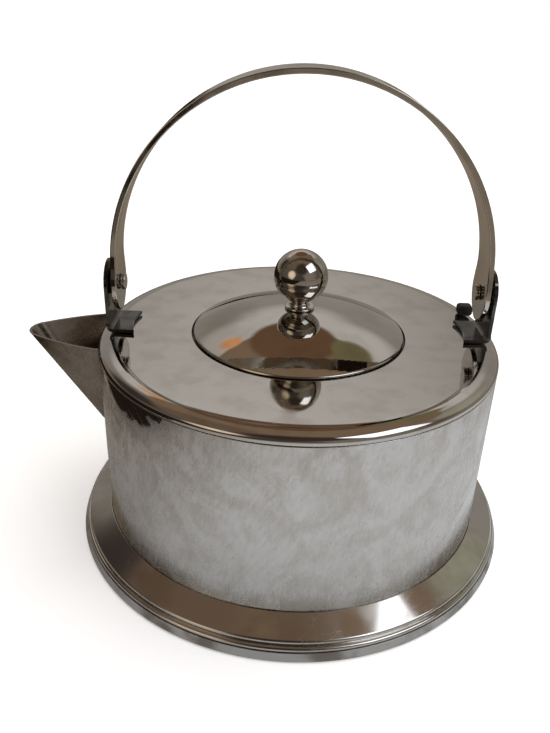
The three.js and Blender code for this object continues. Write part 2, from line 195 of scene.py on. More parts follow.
def broken(outline: np.ndarray, radius: float, closed: bool) -> np.ndarray:
    """Rounds every corner sharper than SHARP_TURN with a short quadratic curve.

    Args:
        outline: points of the outline.
        radius: distance from the corner at which its curve starts and ends.
        closed: whether the last point joins the first.

    Returns:
        The outline with each sharp corner replaced by three points.
    """
    before = np.roll(outline, 1, axis=0) - outline
    after = np.roll(outline, -1, axis=0) - outline
    reach_before = np.linalg.norm(before, axis=1, keepdims=True)
    reach_after = np.linalg.norm(after, axis=1, keepdims=True)
    turn = np.sum(before * after, axis=1, keepdims=True) / (reach_before * reach_after)
    sharp = turn[:, 0] > -math.cos(math.radians(SHARP_TURN))
    if not closed:
        sharp[[0, -1]] = False
    start = outline + before / reach_before * np.minimum(radius, reach_before / 3)
    end = outline + after / reach_after * np.minimum(radius, reach_after / 3)
    middle = (start + end) / 4 + outline / 2
    rounded = np.stack([start, middle, end], axis=1)
    return np.vstack([rounded[i] if sharp[i] else outline[i : i + 1] for i in range(len(outline))])


def held(outline: np.ndarray, closed: bool) -> np.ndarray:
    """Adds a point close to each end of every long straight stretch, so that its shading stays flat.

    Args:
        outline: points of the outline.
        closed: whether the last point joins the first.

    Returns:
        The outline with two more points on each long stretch.
    """
    ring = np.vstack([outline, outline[:1]]) if closed else outline
    start, end = ring[:-1], ring[1:]
    length = np.linalg.norm(end - start, axis=1, keepdims=True)
    along = (end - start) / length
    long = length[:, 0] > LONG_STRETCH
    rows = [
        [start[i], start[i] + along[i] * HOLD, end[i] - along[i] * HOLD] if long[i] else [start[i]]
        for i in range(len(start))
    ]
    points = np.vstack([np.array(row) for row in rows])
    return points if closed else np.vstack([points, ring[-1:]])


# Meshes from grids


def grid_faces(rows: int, columns: int, ring_rows: bool, ring_columns: bool) -> np.ndarray:
    """Corner numbers of the quads between neighbouring rows and columns.

    Args:
        rows: number of rows of points.
        columns: number of points in a row.
        ring_rows: whether the last row joins the first.
        ring_columns: whether the last column joins the first.

    Returns:
        An array of four vertex numbers for each quad.
    """
    number = np.arange(rows * columns).reshape(rows, columns)
    if ring_rows:
        number = np.vstack([number, number[:1]])
    if ring_columns:
        number = np.hstack([number, number[:, :1]])
    corners = [number[:-1, :-1], number[1:, :-1], number[1:, 1:], number[:-1, 1:]]
    return np.stack(corners, axis=-1).reshape(-1, 4)


def welded(points: np.ndarray, faces: np.ndarray) -> tuple:
    """Joins points that fall on the same place, and drops the sides of faces that shrink to nothing.

    Args:
        points: all vertices.
        faces: four vertex numbers for each face.

    Returns:
        The joined vertices, and the faces as lists of three or four vertex numbers.
    """
    key = np.round(points / WELD).astype(np.int64)
    _, first, group = np.unique(key, axis=0, return_index=True, return_inverse=True)
    faces = group.reshape(-1)[faces]
    same = faces == np.roll(faces, 1, axis=1)
    whole = faces[~same.any(axis=1)].tolist()
    folded = faces[same.sum(axis=1) == 1]
    keep = ~(folded == np.roll(folded, 1, axis=1))
    triangles = folded[keep].reshape(-1, 3).tolist()
    return points[first], whole + triangles


def enclosed_volume(points: np.ndarray, faces: list) -> float:
    """Sum over the faces' triangles of the triple product of their corners, over six.

    Args:
        points: the mesh's vertices.
        faces: its faces, as lists of vertex numbers.

    Returns:
        The volume, negative where the faces look inwards.
    """
    corners = np.array([(f[0], f[i], f[i + 1]) for f in faces for i in range(1, len(f) - 1)])
    a, b, c = (points[corners[:, i]] for i in range(3))
    return float(np.sum(a * np.cross(b, c)) / 6)


def piece_from(name: str, grids: list, rings: list, inside: tuple = (0, 0, 0)) -> bpy.types.Object:
    """Makes one smooth object from grids of points, welded where they meet.

    Args:
        name: the piece's name.
        grids: arrays of points, each rows by columns by 3.
        rings: for each grid, whether its rows and its columns close on themselves.
        inside: a point that the faces look away from; any point will do for a closed mesh.

    Returns:
        The new object, at the origin.
    """
    points, faces, offset = [], [], 0
    for grid, (ring_rows, ring_columns) in zip(grids, rings):
        rows, columns = grid.shape[:2]
        points.append(grid.reshape(-1, 3))
        faces.append(grid_faces(rows, columns, ring_rows, ring_columns) + offset)
        offset += rows * columns
    vertices, polygons = welded(np.vstack(points), np.vstack(faces))
    if enclosed_volume(vertices - np.array(inside), polygons) < 0:
        polygons = [face[::-1] for face in polygons]
    mesh = bpy.data.meshes.new(name)
    mesh.from_pydata(vertices.tolist(), [], polygons)
    mesh.shade_smooth()
    mesh.update()
    piece = bpy.data.objects.new(name, mesh)
    bpy.context.scene.collection.objects.link(piece)
    return piece


def lathed(profile: np.ndarray, count: int) -> np.ndarray:
    """Each (radius, height) point swept round Z: (r cos t, r sin t, z) for evenly spaced t.

    Args:
        profile: the (radius, height) points.
        count: steps round the axis.

    Returns:
        A grid of points, one row for each point of the profile.
    """
    turn = np.arange(count) / count * FULL_TURN
    radius, height = profile[:, :1], np.repeat(profile[:, 1:], count, axis=1)
    return np.stack([radius * np.cos(turn), radius * np.sin(turn), height], axis=-1)


def ladder_of(side: np.ndarray, across: np.ndarray) -> np.ndarray:
    """Grid between a strip's two sides: each (length, half width) point carried across the strip.

    Args:
        side: points along one side, as (length, half width).
        across: shares of the half width, from -1 to 1.

    Returns:
        A grid of flat points, one row for each point of the side.
    """
    return np.stack([np.repeat(side[:, :1], len(across), axis=1), side[:, 1:] * across], axis=-1)


def turned(
    name: str, profile: np.ndarray, count: int, edge: float, closed: bool = True
) -> bpy.types.Object:
    """A piece turned round Z from its profile, with its sharp edges broken.

    Args:
        name: the piece's name.
        profile: (radius, height) points; an open profile starts and ends on the axis.
        count: steps round the axis.
        edge: size of the broken edges.
        closed: whether the profile closes on itself.

    Returns:
        The new object.
    """
    smooth = held(broken(profile, edge, closed), closed)
    return piece_from(name, [lathed(smooth, count)], [(closed, True)])


def add_sheet_thickness(piece: bpy.types.Object, thickness: float, side: float) -> None:
    """Gives an open surface its thickness.

    Args:
        piece: the surface.
        thickness: the sheet's thickness.
        side: 1 grows it outwards along the normals, -1 inwards, and 0 half each way.
    """
    solidify = piece.modifiers.new("sheet", "SOLIDIFY")
    solidify.thickness = thickness
    solidify.offset = side
    solidify.use_even_offset = True


def add_broken_edges(piece: bpy.types.Object, width: float) -> None:
    """Rounds the cut edges of a sheet and keeps its flat faces flat in the shading.

    Args:
        piece: the sheet.
        width: width of the rounding.
    """
    bevel = piece.modifiers.new("edges", "BEVEL")
    bevel.width = width
    bevel.segments = BEVEL_SEGMENTS
    bevel.limit_method = "ANGLE"
    bevel.angle_limit = math.radians(BEVEL_TURN)
    bevel.harden_normals = True


def ray_ring(outer: np.ndarray, centre: tuple, radius: float, count: int) -> np.ndarray:
    """Rows between a round hole and an outline, along rays from the hole's centre.

    Each outline point b gives the ray c + (b - c) / |b - c| * s, with s from the hole's radius to
    |b - c|.

    Args:
        outer: closed outline, seen whole from the centre.
        centre: the hole's centre.
        radius: the hole's radius, or one radius for each ray.
        count: number of rows.

    Returns:
        An array of count rows of points in the plane.
    """
    ray = outer - np.array(centre)
    length = np.linalg.norm(ray, axis=1)
    share = np.linspace(0, 1, count)[:, None]
    reach = radius + (length - radius) * share
    return np.array(centre) + reach[..., None] * (ray / length[:, None])


# Finishes


def linear(colour: str) -> tuple:
    """Turns an sRGB colour linear, by the standard's straight start and power curve.

    Args:
        colour: the colour in hex, with a leading hash.

    Returns:
        Red, green and blue, with an alpha of 1.
    """
    channel = np.array([int(colour[i : i + 2], 16) for i in (1, 3, 5)]) / 255
    value = np.where(channel <= 0.04045, channel / 12.92, ((channel + 0.055) / 1.055) ** 2.4)
    return (*value.tolist(), 1.0)


def add_node(
    tree: bpy.types.NodeTree,
    kind: str,
    settings: dict,
    links: dict | None = None,
    output: str = "",
) -> bpy.types.NodeSocket | None:
    """Adds a node and gives back the output that the next node reads.

    Args:
        tree: the node tree.
        kind: the node's type, without its ShaderNode prefix.
        settings: values by property, in lower case, or by input identifier.
        links: outputs of earlier nodes by input identifier.
        output: name of the wanted output, or nothing for the first live one.

    Returns:
        The output socket, or None for a node that has none.
    """
    new = tree.nodes.new("ShaderNode" + kind)
    for key in (key for key in settings if key[0].islower()):
        setattr(new, key, settings[key])
    inputs = {socket.identifier: socket for socket in new.inputs}
    for key in (key for key in settings if not key[0].islower()):
        inputs[key].default_value = settings[key]
    for key, source in (links or {}).items():
        tree.links.new(source, inputs[key])
    if output:
        return new.outputs[output]
    return next((socket for socket in new.outputs if socket.enabled), None)


@dataclass
class Draught:
    """A finish while it is drawn up: a material's node tree and the patterns that go into it.

    Hairlines are broken up by a noise that is coarser than they are by the factor breaks.
    """

    name: str
    breaks: float = 3
    break_edges: tuple = (0.45, 0.6)

    def __post_init__(self) -> None:
        """Starts an empty tree that reads the piece's own Object coordinates."""
        self.material = bpy.data.materials.new(self.name)
        self.material.use_nodes = True
        self.tree = self.material.node_tree
        self.tree.nodes.clear()
        self.place = add_node(self.tree, "TexCoord", {}, output="Object")

    def noise(
        self, size: tuple, turn: tuple = (0, 0, 0), detail: float = 2, swirl: float = 0
    ) -> bpy.types.NodeSocket:
        """Fractal noise.

        Args:
            size: size of the lumps along each axis.
            turn: Euler angles by which the lumps are turned.
            detail: octaves of finer noise.
            swirl: how far the noise twists itself.

        Returns:
            The noise, from 0 to 1.
        """
        settings = {"vector_type": "TEXTURE", "Scale": size, "Rotation": turn}
        scaled = add_node(self.tree, "Mapping", settings, {"Vector": self.place})
        pattern = {"Scale": 1.0, "Detail": detail, "Distortion": swirl}
        return add_node(self.tree, "TexNoise", pattern, {"Vector": scaled})

    def spread(
        self, source: bpy.types.NodeSocket, low: float, high: float, edges: tuple = (0.0, 1.0)
    ) -> bpy.types.NodeSocket:
        """Carries a value smoothly from one level to another.

        Args:
            source: the value.
            low: the level at the first edge.
            high: the level at the second edge.
            edges: the source's values at which the rise starts and ends.

        Returns:
            The new value.
        """
        settings = {
            "interpolation_type": "SMOOTHSTEP",
            "From Min": edges[0],
            "From Max": edges[1],
            "To Min": low,
            "To Max": high,
        }
        return add_node(self.tree, "MapRange", settings, {"Value": source})

    def joined(
        self, operation: str, first: bpy.types.NodeSocket, second: bpy.types.NodeSocket
    ) -> bpy.types.NodeSocket:
        """Joins two values with one operation of the Math node."""
        return add_node(self.tree, "Math", {"operation": operation}, {"Value": first, "Value_001": second})

    def hairlines(self, size: tuple, turn: tuple, share: float) -> bpy.types.NodeSocket:
        """Thin lines where a noise passes through its middle: 1 on a line, falling to 0 beside it.

        Args:
            size: length and spacing of the lines along each axis.
            turn: Euler angles of the lines.
            share: width of a line as a share of the noise's height.

        Returns:
            The lines, broken up by a second, coarser noise.
        """
        noise = self.noise(size, turn, detail=0)
        middle = add_node(self.tree, "Math", {"operation": "SUBTRACT", "Value_001": 0.5}, {"Value": noise})
        away = add_node(self.tree, "Math", {"operation": "ABSOLUTE"}, {"Value": middle})
        line = self.spread(away, 1.0, 0.0, (share / 2, share))
        coarse = self.noise(tuple(self.breaks * s for s in size), (turn[2], turn[0], turn[1]))
        return self.joined("MULTIPLY", line, self.spread(coarse, 0.0, 1.0, self.break_edges))

    def colours(self, share: bpy.types.NodeSocket, first: str, second: str) -> bpy.types.NodeSocket:
        """Mixes two colours by a share."""
        settings = {"data_type": "RGBA", "A_Color": linear(first), "B_Color": linear(second)}
        return add_node(self.tree, "Mix", settings, {"Factor_Float": share})

    def relief(
        self, height: bpy.types.NodeSocket, depth: float, below: bpy.types.NodeSocket | None = None
    ) -> bpy.types.NodeSocket:
        """Bump of a height that runs from 0 to 1 over a depth, laid over another bump."""
        links = {"Height": height} if below is None else {"Height": height, "Normal": below}
        return add_node(self.tree, "Bump", {"Distance": depth, "Strength": 1.0}, links)

    def done(
        self,
        settings: dict,
        colour: bpy.types.NodeSocket,
        roughness: bpy.types.NodeSocket,
        normal: bpy.types.NodeSocket,
    ) -> bpy.types.Material:
        """Adds the shader and the output.

        Args:
            settings: the shader's values that are the same all over the surface.
            colour: its colour by place.
            roughness: its roughness by place.
            normal: its relief.

        Returns:
            The material.
        """
        links = {"Base Color": colour, "Roughness": roughness, "Normal": normal}
        shader = add_node(self.tree, "BsdfPrincipled", settings, links)
        add_node(self.tree, "OutputMaterial", {}, {"Surface": shader})
        return self.material


@dataclass(frozen=True)
class PolishedSteel:
    """Stainless sheet buffed to a mirror.

    Reflections are sharp, and slightly wavy where the sheet was worked. Use leaves cloth hairlines
    in all directions and dull finger smudges. Real hairlines are some 0.02 mm wide; they are drawn
    about 0.1 mm wide so that they show.
    """

    name: str
    colour: str = "#cdcac4"
    dulled: str = "#b8b3aa"
    roughness: float = 0.05
    smudged: float = 0.2
    smudge: float = 26 * MM
    smudge_edges: tuple = (0.42, 0.68)
    scratch: float = 4 * MM
    scratch_width: float = 0.008
    scratch_depth: float = 0.0006 * MM
    scored: float = 0.08
    across_turn: tuple = (0.2, 0.1, 0.6)
    along_turn: tuple = (0.1, 0.3, -0.4)
    wave: float = 17 * MM
    wave_depth: float = 0.05 * MM

    def material(self) -> bpy.types.Material:
        """Draws up the material.

        Returns:
            The material.
        """
        draught = Draught(self.name)
        short = self.scratch
        smudges = draught.spread(draught.noise((self.smudge,) * 3, detail=5), 0.0, 1.0, self.smudge_edges)
        across = draught.hairlines((short * 3, short, short), self.across_turn, self.scratch_width)
        along = draught.hairlines((short, short * 4, short), self.along_turn, self.scratch_width)
        lines = draught.joined("MAXIMUM", across, along)
        base = draught.spread(smudges, self.roughness, self.smudged)
        scored = draught.spread(lines, 0.0, self.scored)
        roughness = draught.joined("ADD", base, scored)
        waves = draught.relief(draught.noise((self.wave,) * 3, detail=1), self.wave_depth)
        normal = draught.relief(lines, self.scratch_depth, waves)
        colour = draught.colours(smudges, self.colour, self.dulled)
        return draught.done({"Metallic": 1.0}, colour, roughness, normal)


@dataclass(frozen=True)
class WallSpot:
    """A flat ellipsoid on the drum's wall, close under the deck's rim; its turn is in degrees from +X."""

    turn: float = 219.0
    drop: float = 4 * MM
    half: tuple = (24 * MM, 14 * MM, 10 * MM)

    @property
    def place(self) -> tuple:
        """Its middle: (R cos t, R sin t) on the wall, and the drop under the deck's top."""
        radius, turn = Node("body_wall").radius, math.radians(self.turn)
        return (radius * math.cos(turn), radius * math.sin(turn), Node("top_deck").top - self.drop)


@dataclass(frozen=True)
class SatinSteel:
    """Stainless sheet with a satin finish, drawn and scoured by use.

    It blurs what it reflects. Scouring leaves swirling clouds, duller and brighter, and short
    scratches that cross, and drawing leaves fine, broken upright lines. Lines and scratches are
    drawn some ten times as wide as they are, so that they show. A spot that the scourer never
    reached, such as the corner under the rim, keeps its mirror polish and has a ragged edge.
    """

    name: str
    colour: str = "#dad9d7"
    dulled: str = "#c4bfb8"
    smooth: float = 0.2
    rough: float = 0.32
    cloud: float = 24 * MM
    cloud_share: float = 0.65
    cloud_edges: tuple = (0.28, 0.74)
    swirl: float = 1.6
    fleck: tuple = (1.6 * MM, 1.6 * MM, 7 * MM)
    fleck_turn: tuple = (0.3, 0.35, 0.2)
    fleck_share: float = 0.35
    fleck_edges: tuple = (0.25, 0.75)
    line: tuple = (0.9 * MM, 0.9 * MM, 14 * MM)
    line_edges: tuple = (0.35, 0.65)
    line_depth: float = 0.0015 * MM
    drawn: float = 0.03
    scratch: float = 4 * MM
    scratch_width: float = 0.03
    scratch_depth: float = 0.004 * MM
    rising_turn: tuple = (0.6, 0.3, 0.2)
    falling_turn: tuple = (-0.7, -0.4, 0.5)
    scored: float = 0.08
    spot: WallSpot | None = None
    spot_polish: float = 0.2
    spot_edges: tuple = (0.98, 1.04)
    rag: float = 6 * MM
    rag_reach: float = 0.22
    rag_edges: tuple = (0.3, 0.7)

    def polish_left(self, draught: Draught) -> bpy.types.NodeSocket:
        """Share of the roughness by place: low inside the spot, an ellipsoid, and all of it outside.

        Args:
            draught: the finish that is drawn up.

        Returns:
            The share, from spot_polish to 1.
        """
        frame_of_spot = {
            "vector_type": "TEXTURE",
            "Location": self.spot.place,
            "Rotation": (0, 0, math.radians(self.spot.turn) + QUARTER_TURN),
            "Scale": self.spot.half,
        }
        inside = add_node(draught.tree, "Mapping", frame_of_spot, {"Vector": draught.place})
        away = add_node(draught.tree, "VectorMath", {"operation": "LENGTH"}, {"Vector": inside}, "Value")
        rags = draught.noise((self.rag,) * 3, detail=2)
        ragged = draught.spread(rags, -self.rag_reach, self.rag_reach, self.rag_edges)
        return draught.spread(draught.joined("ADD", away, ragged), self.spot_polish, 1.0, self.spot_edges)

    def material(self) -> bpy.types.Material:
        """Draws up the material.

        Returns:
            The material.
        """
        draught = Draught(self.name)
        cloudy = draught.noise((self.cloud,) * 3, detail=7, swirl=self.swirl)
        clouds = draught.spread(cloudy, 0.0, self.cloud_share, self.cloud_edges)
        flecked = draught.noise(self.fleck, self.fleck_turn, detail=3)
        flecks = draught.spread(flecked, 0.0, self.fleck_share, self.fleck_edges)
        dull = draught.joined("ADD", clouds, flecks)
        lines = draught.spread(draught.noise(self.line, detail=3), 0.0, 1.0, self.line_edges)
        upright = (self.scratch, self.scratch, 4 * self.scratch)
        rising = draught.hairlines(upright, self.rising_turn, self.scratch_width)
        falling = draught.hairlines(upright, self.falling_turn, self.scratch_width)
        scours = draught.joined("MAXIMUM", rising, falling)
        base = draught.spread(dull, self.smooth, self.rough)
        drawn = draught.spread(lines, -self.drawn, self.drawn)
        scored = draught.spread(scours, 0.0, self.scored)
        roughness = draught.joined("ADD", draught.joined("ADD", base, drawn), scored)
        if self.spot:
            worn = self.polish_left(draught)
            roughness = draught.joined("MULTIPLY", roughness, worn)
            lines = draught.joined("MULTIPLY", lines, worn)
        normal = draught.relief(scours, self.scratch_depth, draught.relief(lines, self.line_depth))
        colour = draught.colours(dull, self.colour, self.dulled)
        return draught.done({"Metallic": 1.0}, colour, roughness, normal)


@dataclass(frozen=True)
class DullSteel:
    """Pickled stainless sheet that was never polished: grey, even and grainy, stained in patches.

    It hardly mirrors anything. The grain is drawn some ten times as coarse as it is, so that it shows.
    """

    name: str
    colour: str = "#a9a7a2"
    stained: str = "#7f7a72"
    smooth: float = 0.32
    rough: float = 0.5
    stain: float = 14 * MM
    stain_edges: tuple = (0.4, 0.65)
    grain: float = 0.5 * MM
    grain_depth: float = 0.02 * MM

    def material(self) -> bpy.types.Material:
        """Draws up the material.

        Returns:
            The material.
        """
        draught = Draught(self.name)
        stains = draught.spread(draught.noise((self.stain,) * 3, detail=6), 0.0, 1.0, self.stain_edges)
        grain = draught.noise((self.grain,) * 3)
        roughness = draught.spread(stains, self.smooth, self.rough)
        normal = draught.relief(grain, self.grain_depth)
        colour = draught.colours(stains, self.colour, self.stained)
        return draught.done({"Metallic": 1.0}, colour, roughness, normal)


@dataclass(frozen=True)
class PressedAluminium:
    """Aluminium plate as it comes from the press: soft silver, with fine roll lines along X.

    The roll lines are drawn some ten times as wide as they are, so that they show.
    """

    name: str
    colour: str = "#d6d7d8"
    dulled: str = "#bcbdbe"
    smooth: float = 0.3
    rough: float = 0.42
    roll_line: tuple = (40 * MM, 0.6 * MM, 0.6 * MM)
    roll_edges: tuple = (0.3, 0.7)
    line_depth: float = 0.01 * MM

    def material(self) -> bpy.types.Material:
        """Draws up the material.

        Returns:
            The material.
        """
        draught = Draught(self.name)
        lines = draught.spread(draught.noise(self.roll_line, detail=3), 0.0, 1.0, self.roll_edges)
        roughness = draught.spread(lines, self.smooth, self.rough)
        normal = draught.relief(lines, self.line_depth)
        colour = draught.colours(lines, self.colour, self.dulled)
        return draught.done({"Metallic": 1.0}, colour, roughness, normal)


@dataclass(frozen=True)
class MouldedRubber:
    """Black moulded rubber: nearly no shine, a fine spark-eroded texture and a film of dust.

    The texture is drawn some five times as coarse as it is, so that it shows.
    """

    name: str
    colour: str = "#161514"
    dusted: str = "#2c2a28"
    smooth: float = 0.55
    rough: float = 0.8
    texture: float = 0.4 * MM
    texture_depth: float = 0.03 * MM
    dust: float = 5 * MM
    dust_edges: tuple = (0.45, 0.7)
    ior: float = 1.52

    def material(self) -> bpy.types.Material:
        """Draws up the material.

        Returns:
            The material.
        """
        draught = Draught(self.name)
        dust = draught.spread(draught.noise((self.dust,) * 3, detail=4), 0.0, 1.0, self.dust_edges)
        roughness = draught.spread(dust, self.smooth, self.rough)
        normal = draught.relief(draught.noise((self.texture,) * 3), self.texture_depth)
        colour = draught.colours(dust, self.colour, self.dusted)
        return draught.done({"IOR": self.ior}, colour, roughness, normal)


class Finishes:
    """Every finish of the kettle, drawn up once."""

    def __init__(self) -> None:
        """Draws up the materials."""
        self.satin_wall = SatinSteel("scoured satin steel", spot=WallSpot()).material()
        self.inside = SatinSteel("drawn satin steel", dulled="#b3b0aa", cloud=40 * MM).material()
        # Painted shade: the lid seat's two colours are dark so that the gap round the lid reads as shadow.
        self.seat = DullSteel("stained seat steel", "#5d5750", "#38332e", stain=9 * MM).material()
        # Painted reflection: the spout's two colours are darkened and browned to stand for the dark,
        # shadowed surroundings that it mirrors.
        self.spout = SatinSteel(
            "tarnished spout steel", "#a0978c", "#85796d", line=(14 * MM, 14 * MM, 0.9 * MM)
        ).material()
        self.deck = PolishedSteel(
            "polished deck steel", dulled="#c3beb6", roughness=0.04, smudged=0.1, smudge=13 * MM
        ).material()
        self.foot = PolishedSteel("polished foot steel", roughness=0.09, wave_depth=0.04 * MM).material()
        self.lid = PolishedSteel(
            "polished lid steel", roughness=0.02, smudged=0.07, wave_depth=0.02 * MM
        ).material()
        self.strap = PolishedSteel("polished strap steel", wave=30 * MM).material()
        # Painted reflection: the ears' two colours are dark to stand for the dark things that their faces
        # mirror.
        self.ear = PolishedSteel(
            "worn ear steel", "#6d6a67", "#4b4845", roughness=0.1, smudged=0.3, smudge=9 * MM
        ).material()
        self.small_mirror = PolishedSteel(
            "polished turned steel", smudged=0.1, smudge=8 * MM, scratch=5 * MM, wave_depth=0.0
        ).material()
        self.washer = DullSteel("dull turned steel", stain=4 * MM).material()
        self.underside = DullSteel("pickled base steel", "#c4c2bd", "#948f87").material()
        self.core = PressedAluminium("pressed aluminium").material()
        self.rubber = MouldedRubber("moulded black rubber").material()


def install(
    piece: bpy.types.Object, material: bpy.types.Material, node: str, body: Body
) -> None:
    """Dresses a new piece, puts it on its body and lets it stand for its CAD node.

    Args:
        piece: the finished object.
        material: its finish.
        node: the CAD node that it replaces.
        body: the body that it rides on.
    """
    piece.data.materials.append(material)
    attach(piece, body.value)
    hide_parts(node)
    log.info("%s takes the place of %s", piece.name, node)


# Sub-assemblies


@dataclass
class Drum:
    """The drum: a rolled wall, a deck with a rounded rim, an inner floor and the lid's seat."""

    finishes: Finishes
    sheet: float = 1.0 * MM
    gap: float = 0.3 * MM
    edge: float = 0.25 * MM
    rim_radius: float = 4.0 * MM
    rim_stretch: float = 2.0
    rim_land: float = 1.2 * MM
    dish: float = 0.9 * MM
    lid_play: float = 1.0 * MM
    lid_lip: float = 2.2 * MM
    ledge_width: float = 3.2 * MM
    seat_flange: float = 6.0 * MM
    floor_corner: float = 3.0 * MM
    port_half_width: float = 14.0 * MM
    port_height: float = 31.0 * MM
    port_margin: float = 2.4 * MM
    port_corner: float = 5.0 * MM
    port_patch_half: float = 22.0 * MM
    wall_rows: int = 41
    patch_columns: int = 31
    steps: int = 288
    wall: Node = Node("body_wall")
    deck: Node = Node("top_deck")
    floor: Node = Node("floor_pan")
    seat: Node = Node("lid_seat")
    lid: Node = Node("lid_dome")

    @property
    def opening_radius(self) -> float:
        """Radius of the round opening in the deck."""
        return self.lid.radius + self.lid_play

    @property
    def flange_radius(self) -> float:
        """Radius of what slips inside the wall."""
        return self.wall.radius - self.sheet - self.gap

    @property
    def rim_foot(self) -> float:
        """Height at which the deck's rim meets the wall."""
        return self.deck.top - self.rim_radius - self.rim_land

    def port_outline(self) -> np.ndarray:
        """The pour port on the unrolled wall: a triangle, point down, its corners quadratic curves.

        Returns:
            Its closed outline, as (arc length from the spout's line, height).
        """
        top = self.deck.bottom - self.port_margin
        half = self.port_half_width
        corner = np.array([[-half, top], [0, top - self.port_height], [half, top]])
        into = directions(np.vstack([corner[-1:], corner]))
        out = np.roll(into, -1, axis=0)
        curves = [
            bezier([c - a * self.port_corner, c, c + b * self.port_corner], count=9)
            for c, a, b in zip(corner, into, out)
        ]
        return np.vstack(curves)

    def on_wall(self, flat: np.ndarray) -> np.ndarray:
        """Rolls flat points onto the wall's cylinder: (R cos t, R sin t, z), t being length over R.

        Args:
            flat: points as (arc length from the spout's line, height).

        Returns:
            The points in space.
        """
        turn = HALF_TURN + flat[..., 0] / self.wall.radius
        x, y = self.wall.radius * np.cos(turn), self.wall.radius * np.sin(turn)
        return np.stack([x, y, flat[..., 1]], axis=-1)

    def build_wall(self) -> bpy.types.Object:
        """The wall: one panel rolled round the drum, and a patch of rays round the pour port.

        Returns:
            The piece.
        """
        height = np.linspace(self.wall.bottom, self.wall.top, self.wall_rows)
        half = self.port_patch_half
        across = np.linspace(-half, half, self.patch_columns)
        round_wall = np.linspace(half, FULL_TURN * self.wall.radius - half, self.steps)
        panel = np.stack(np.meshgrid(round_wall, height), axis=-1)
        border = np.vstack([
            column_of(across, height[0]),
            row_of(half, height[1:]),
            column_of(across[-2::-1], height[-1]),
            row_of(-half, height[-2:0:-1]),
        ])
        port = self.port_outline()
        centre = port.mean(axis=0)
        spoke = port - centre
        angle = np.arctan2(*(border - centre).T[::-1])
        spoke_angle = np.arctan2(spoke[:, 1], spoke[:, 0])
        reach = np.interp(angle, spoke_angle, np.linalg.norm(spoke, axis=1), period=FULL_TURN)
        patch = ray_ring(border, centre, reach, count=12)[::-1]
        grids = [self.on_wall(panel), self.on_wall(patch)]
        piece = piece_from("wall_sheet", grids, [(False, False), (False, True)])
        add_sheet_thickness(piece, self.sheet, -1)
        add_broken_edges(piece, self.edge)
        return piece

    def build_deck(self) -> bpy.types.Object:
        """The deck: a shallow dish, a quarter ellipse and a short land, and the flange in the wall.

        Returns:
            The piece.
        """
        outer, flange = self.wall.radius, self.flange_radius
        stretch = np.array([self.rim_stretch, 1])
        middle = np.array([outer - self.rim_stretch * self.rim_radius, self.deck.top - self.rim_radius])
        path = np.vstack([
            [[self.opening_radius, self.deck.top - self.dish]],
            arc((0, 0), self.rim_radius, 90, 0, count=28) * stretch + middle,
            [[outer, self.rim_foot], [flange, self.rim_foot], [flange, self.deck.bottom]],
        ])
        return turned("deck_sheet", sheet_section(path, -self.sheet), self.steps, self.edge)

    def build_floor(self) -> bpy.types.Object:
        """The floor pan: a disc whose rounded corner turns up into a flange.

        Returns:
            The piece.
        """
        corner = (self.flange_radius - self.floor_corner, self.floor.bottom + self.floor_corner)
        path = np.vstack([
            [[0, self.floor.bottom]],
            arc(corner, self.floor_corner, -90, 0, count=12),
            [[self.flange_radius, self.floor.top]],
        ])
        section = sheet_section(path, self.sheet)
        return turned("floor_sheet", section, self.steps, self.edge, closed=False)

    def build_seat(self) -> bpy.types.Object:
        """The lid seat: a flange under the deck, a step down to the ledge, and a guide tube.

        Returns:
            The piece.
        """
        ledge = self.deck.top - self.lid_lip - self.gap
        guide = self.opening_radius - self.ledge_width
        flange = self.deck.top - self.dish - self.sheet
        path = np.array([
            [self.opening_radius + self.seat_flange, flange],
            [self.opening_radius, flange],
            [self.opening_radius, ledge],
            [guide, ledge],
            [guide, self.seat.bottom],
        ])
        return turned("seat_ring", sheet_section(path, self.sheet), self.steps, self.edge)

    def build(self) -> None:
        """Builds and dresses the drum's pieces."""
        install(self.build_wall(), self.finishes.satin_wall, "body_wall", Body.KETTLE)
        install(self.build_deck(), self.finishes.deck, "top_deck", Body.KETTLE)
        install(self.build_floor(), self.finishes.inside, "floor_pan", Body.KETTLE)
        install(self.build_seat(), self.finishes.seat, "lid_seat", Body.KETTLE)


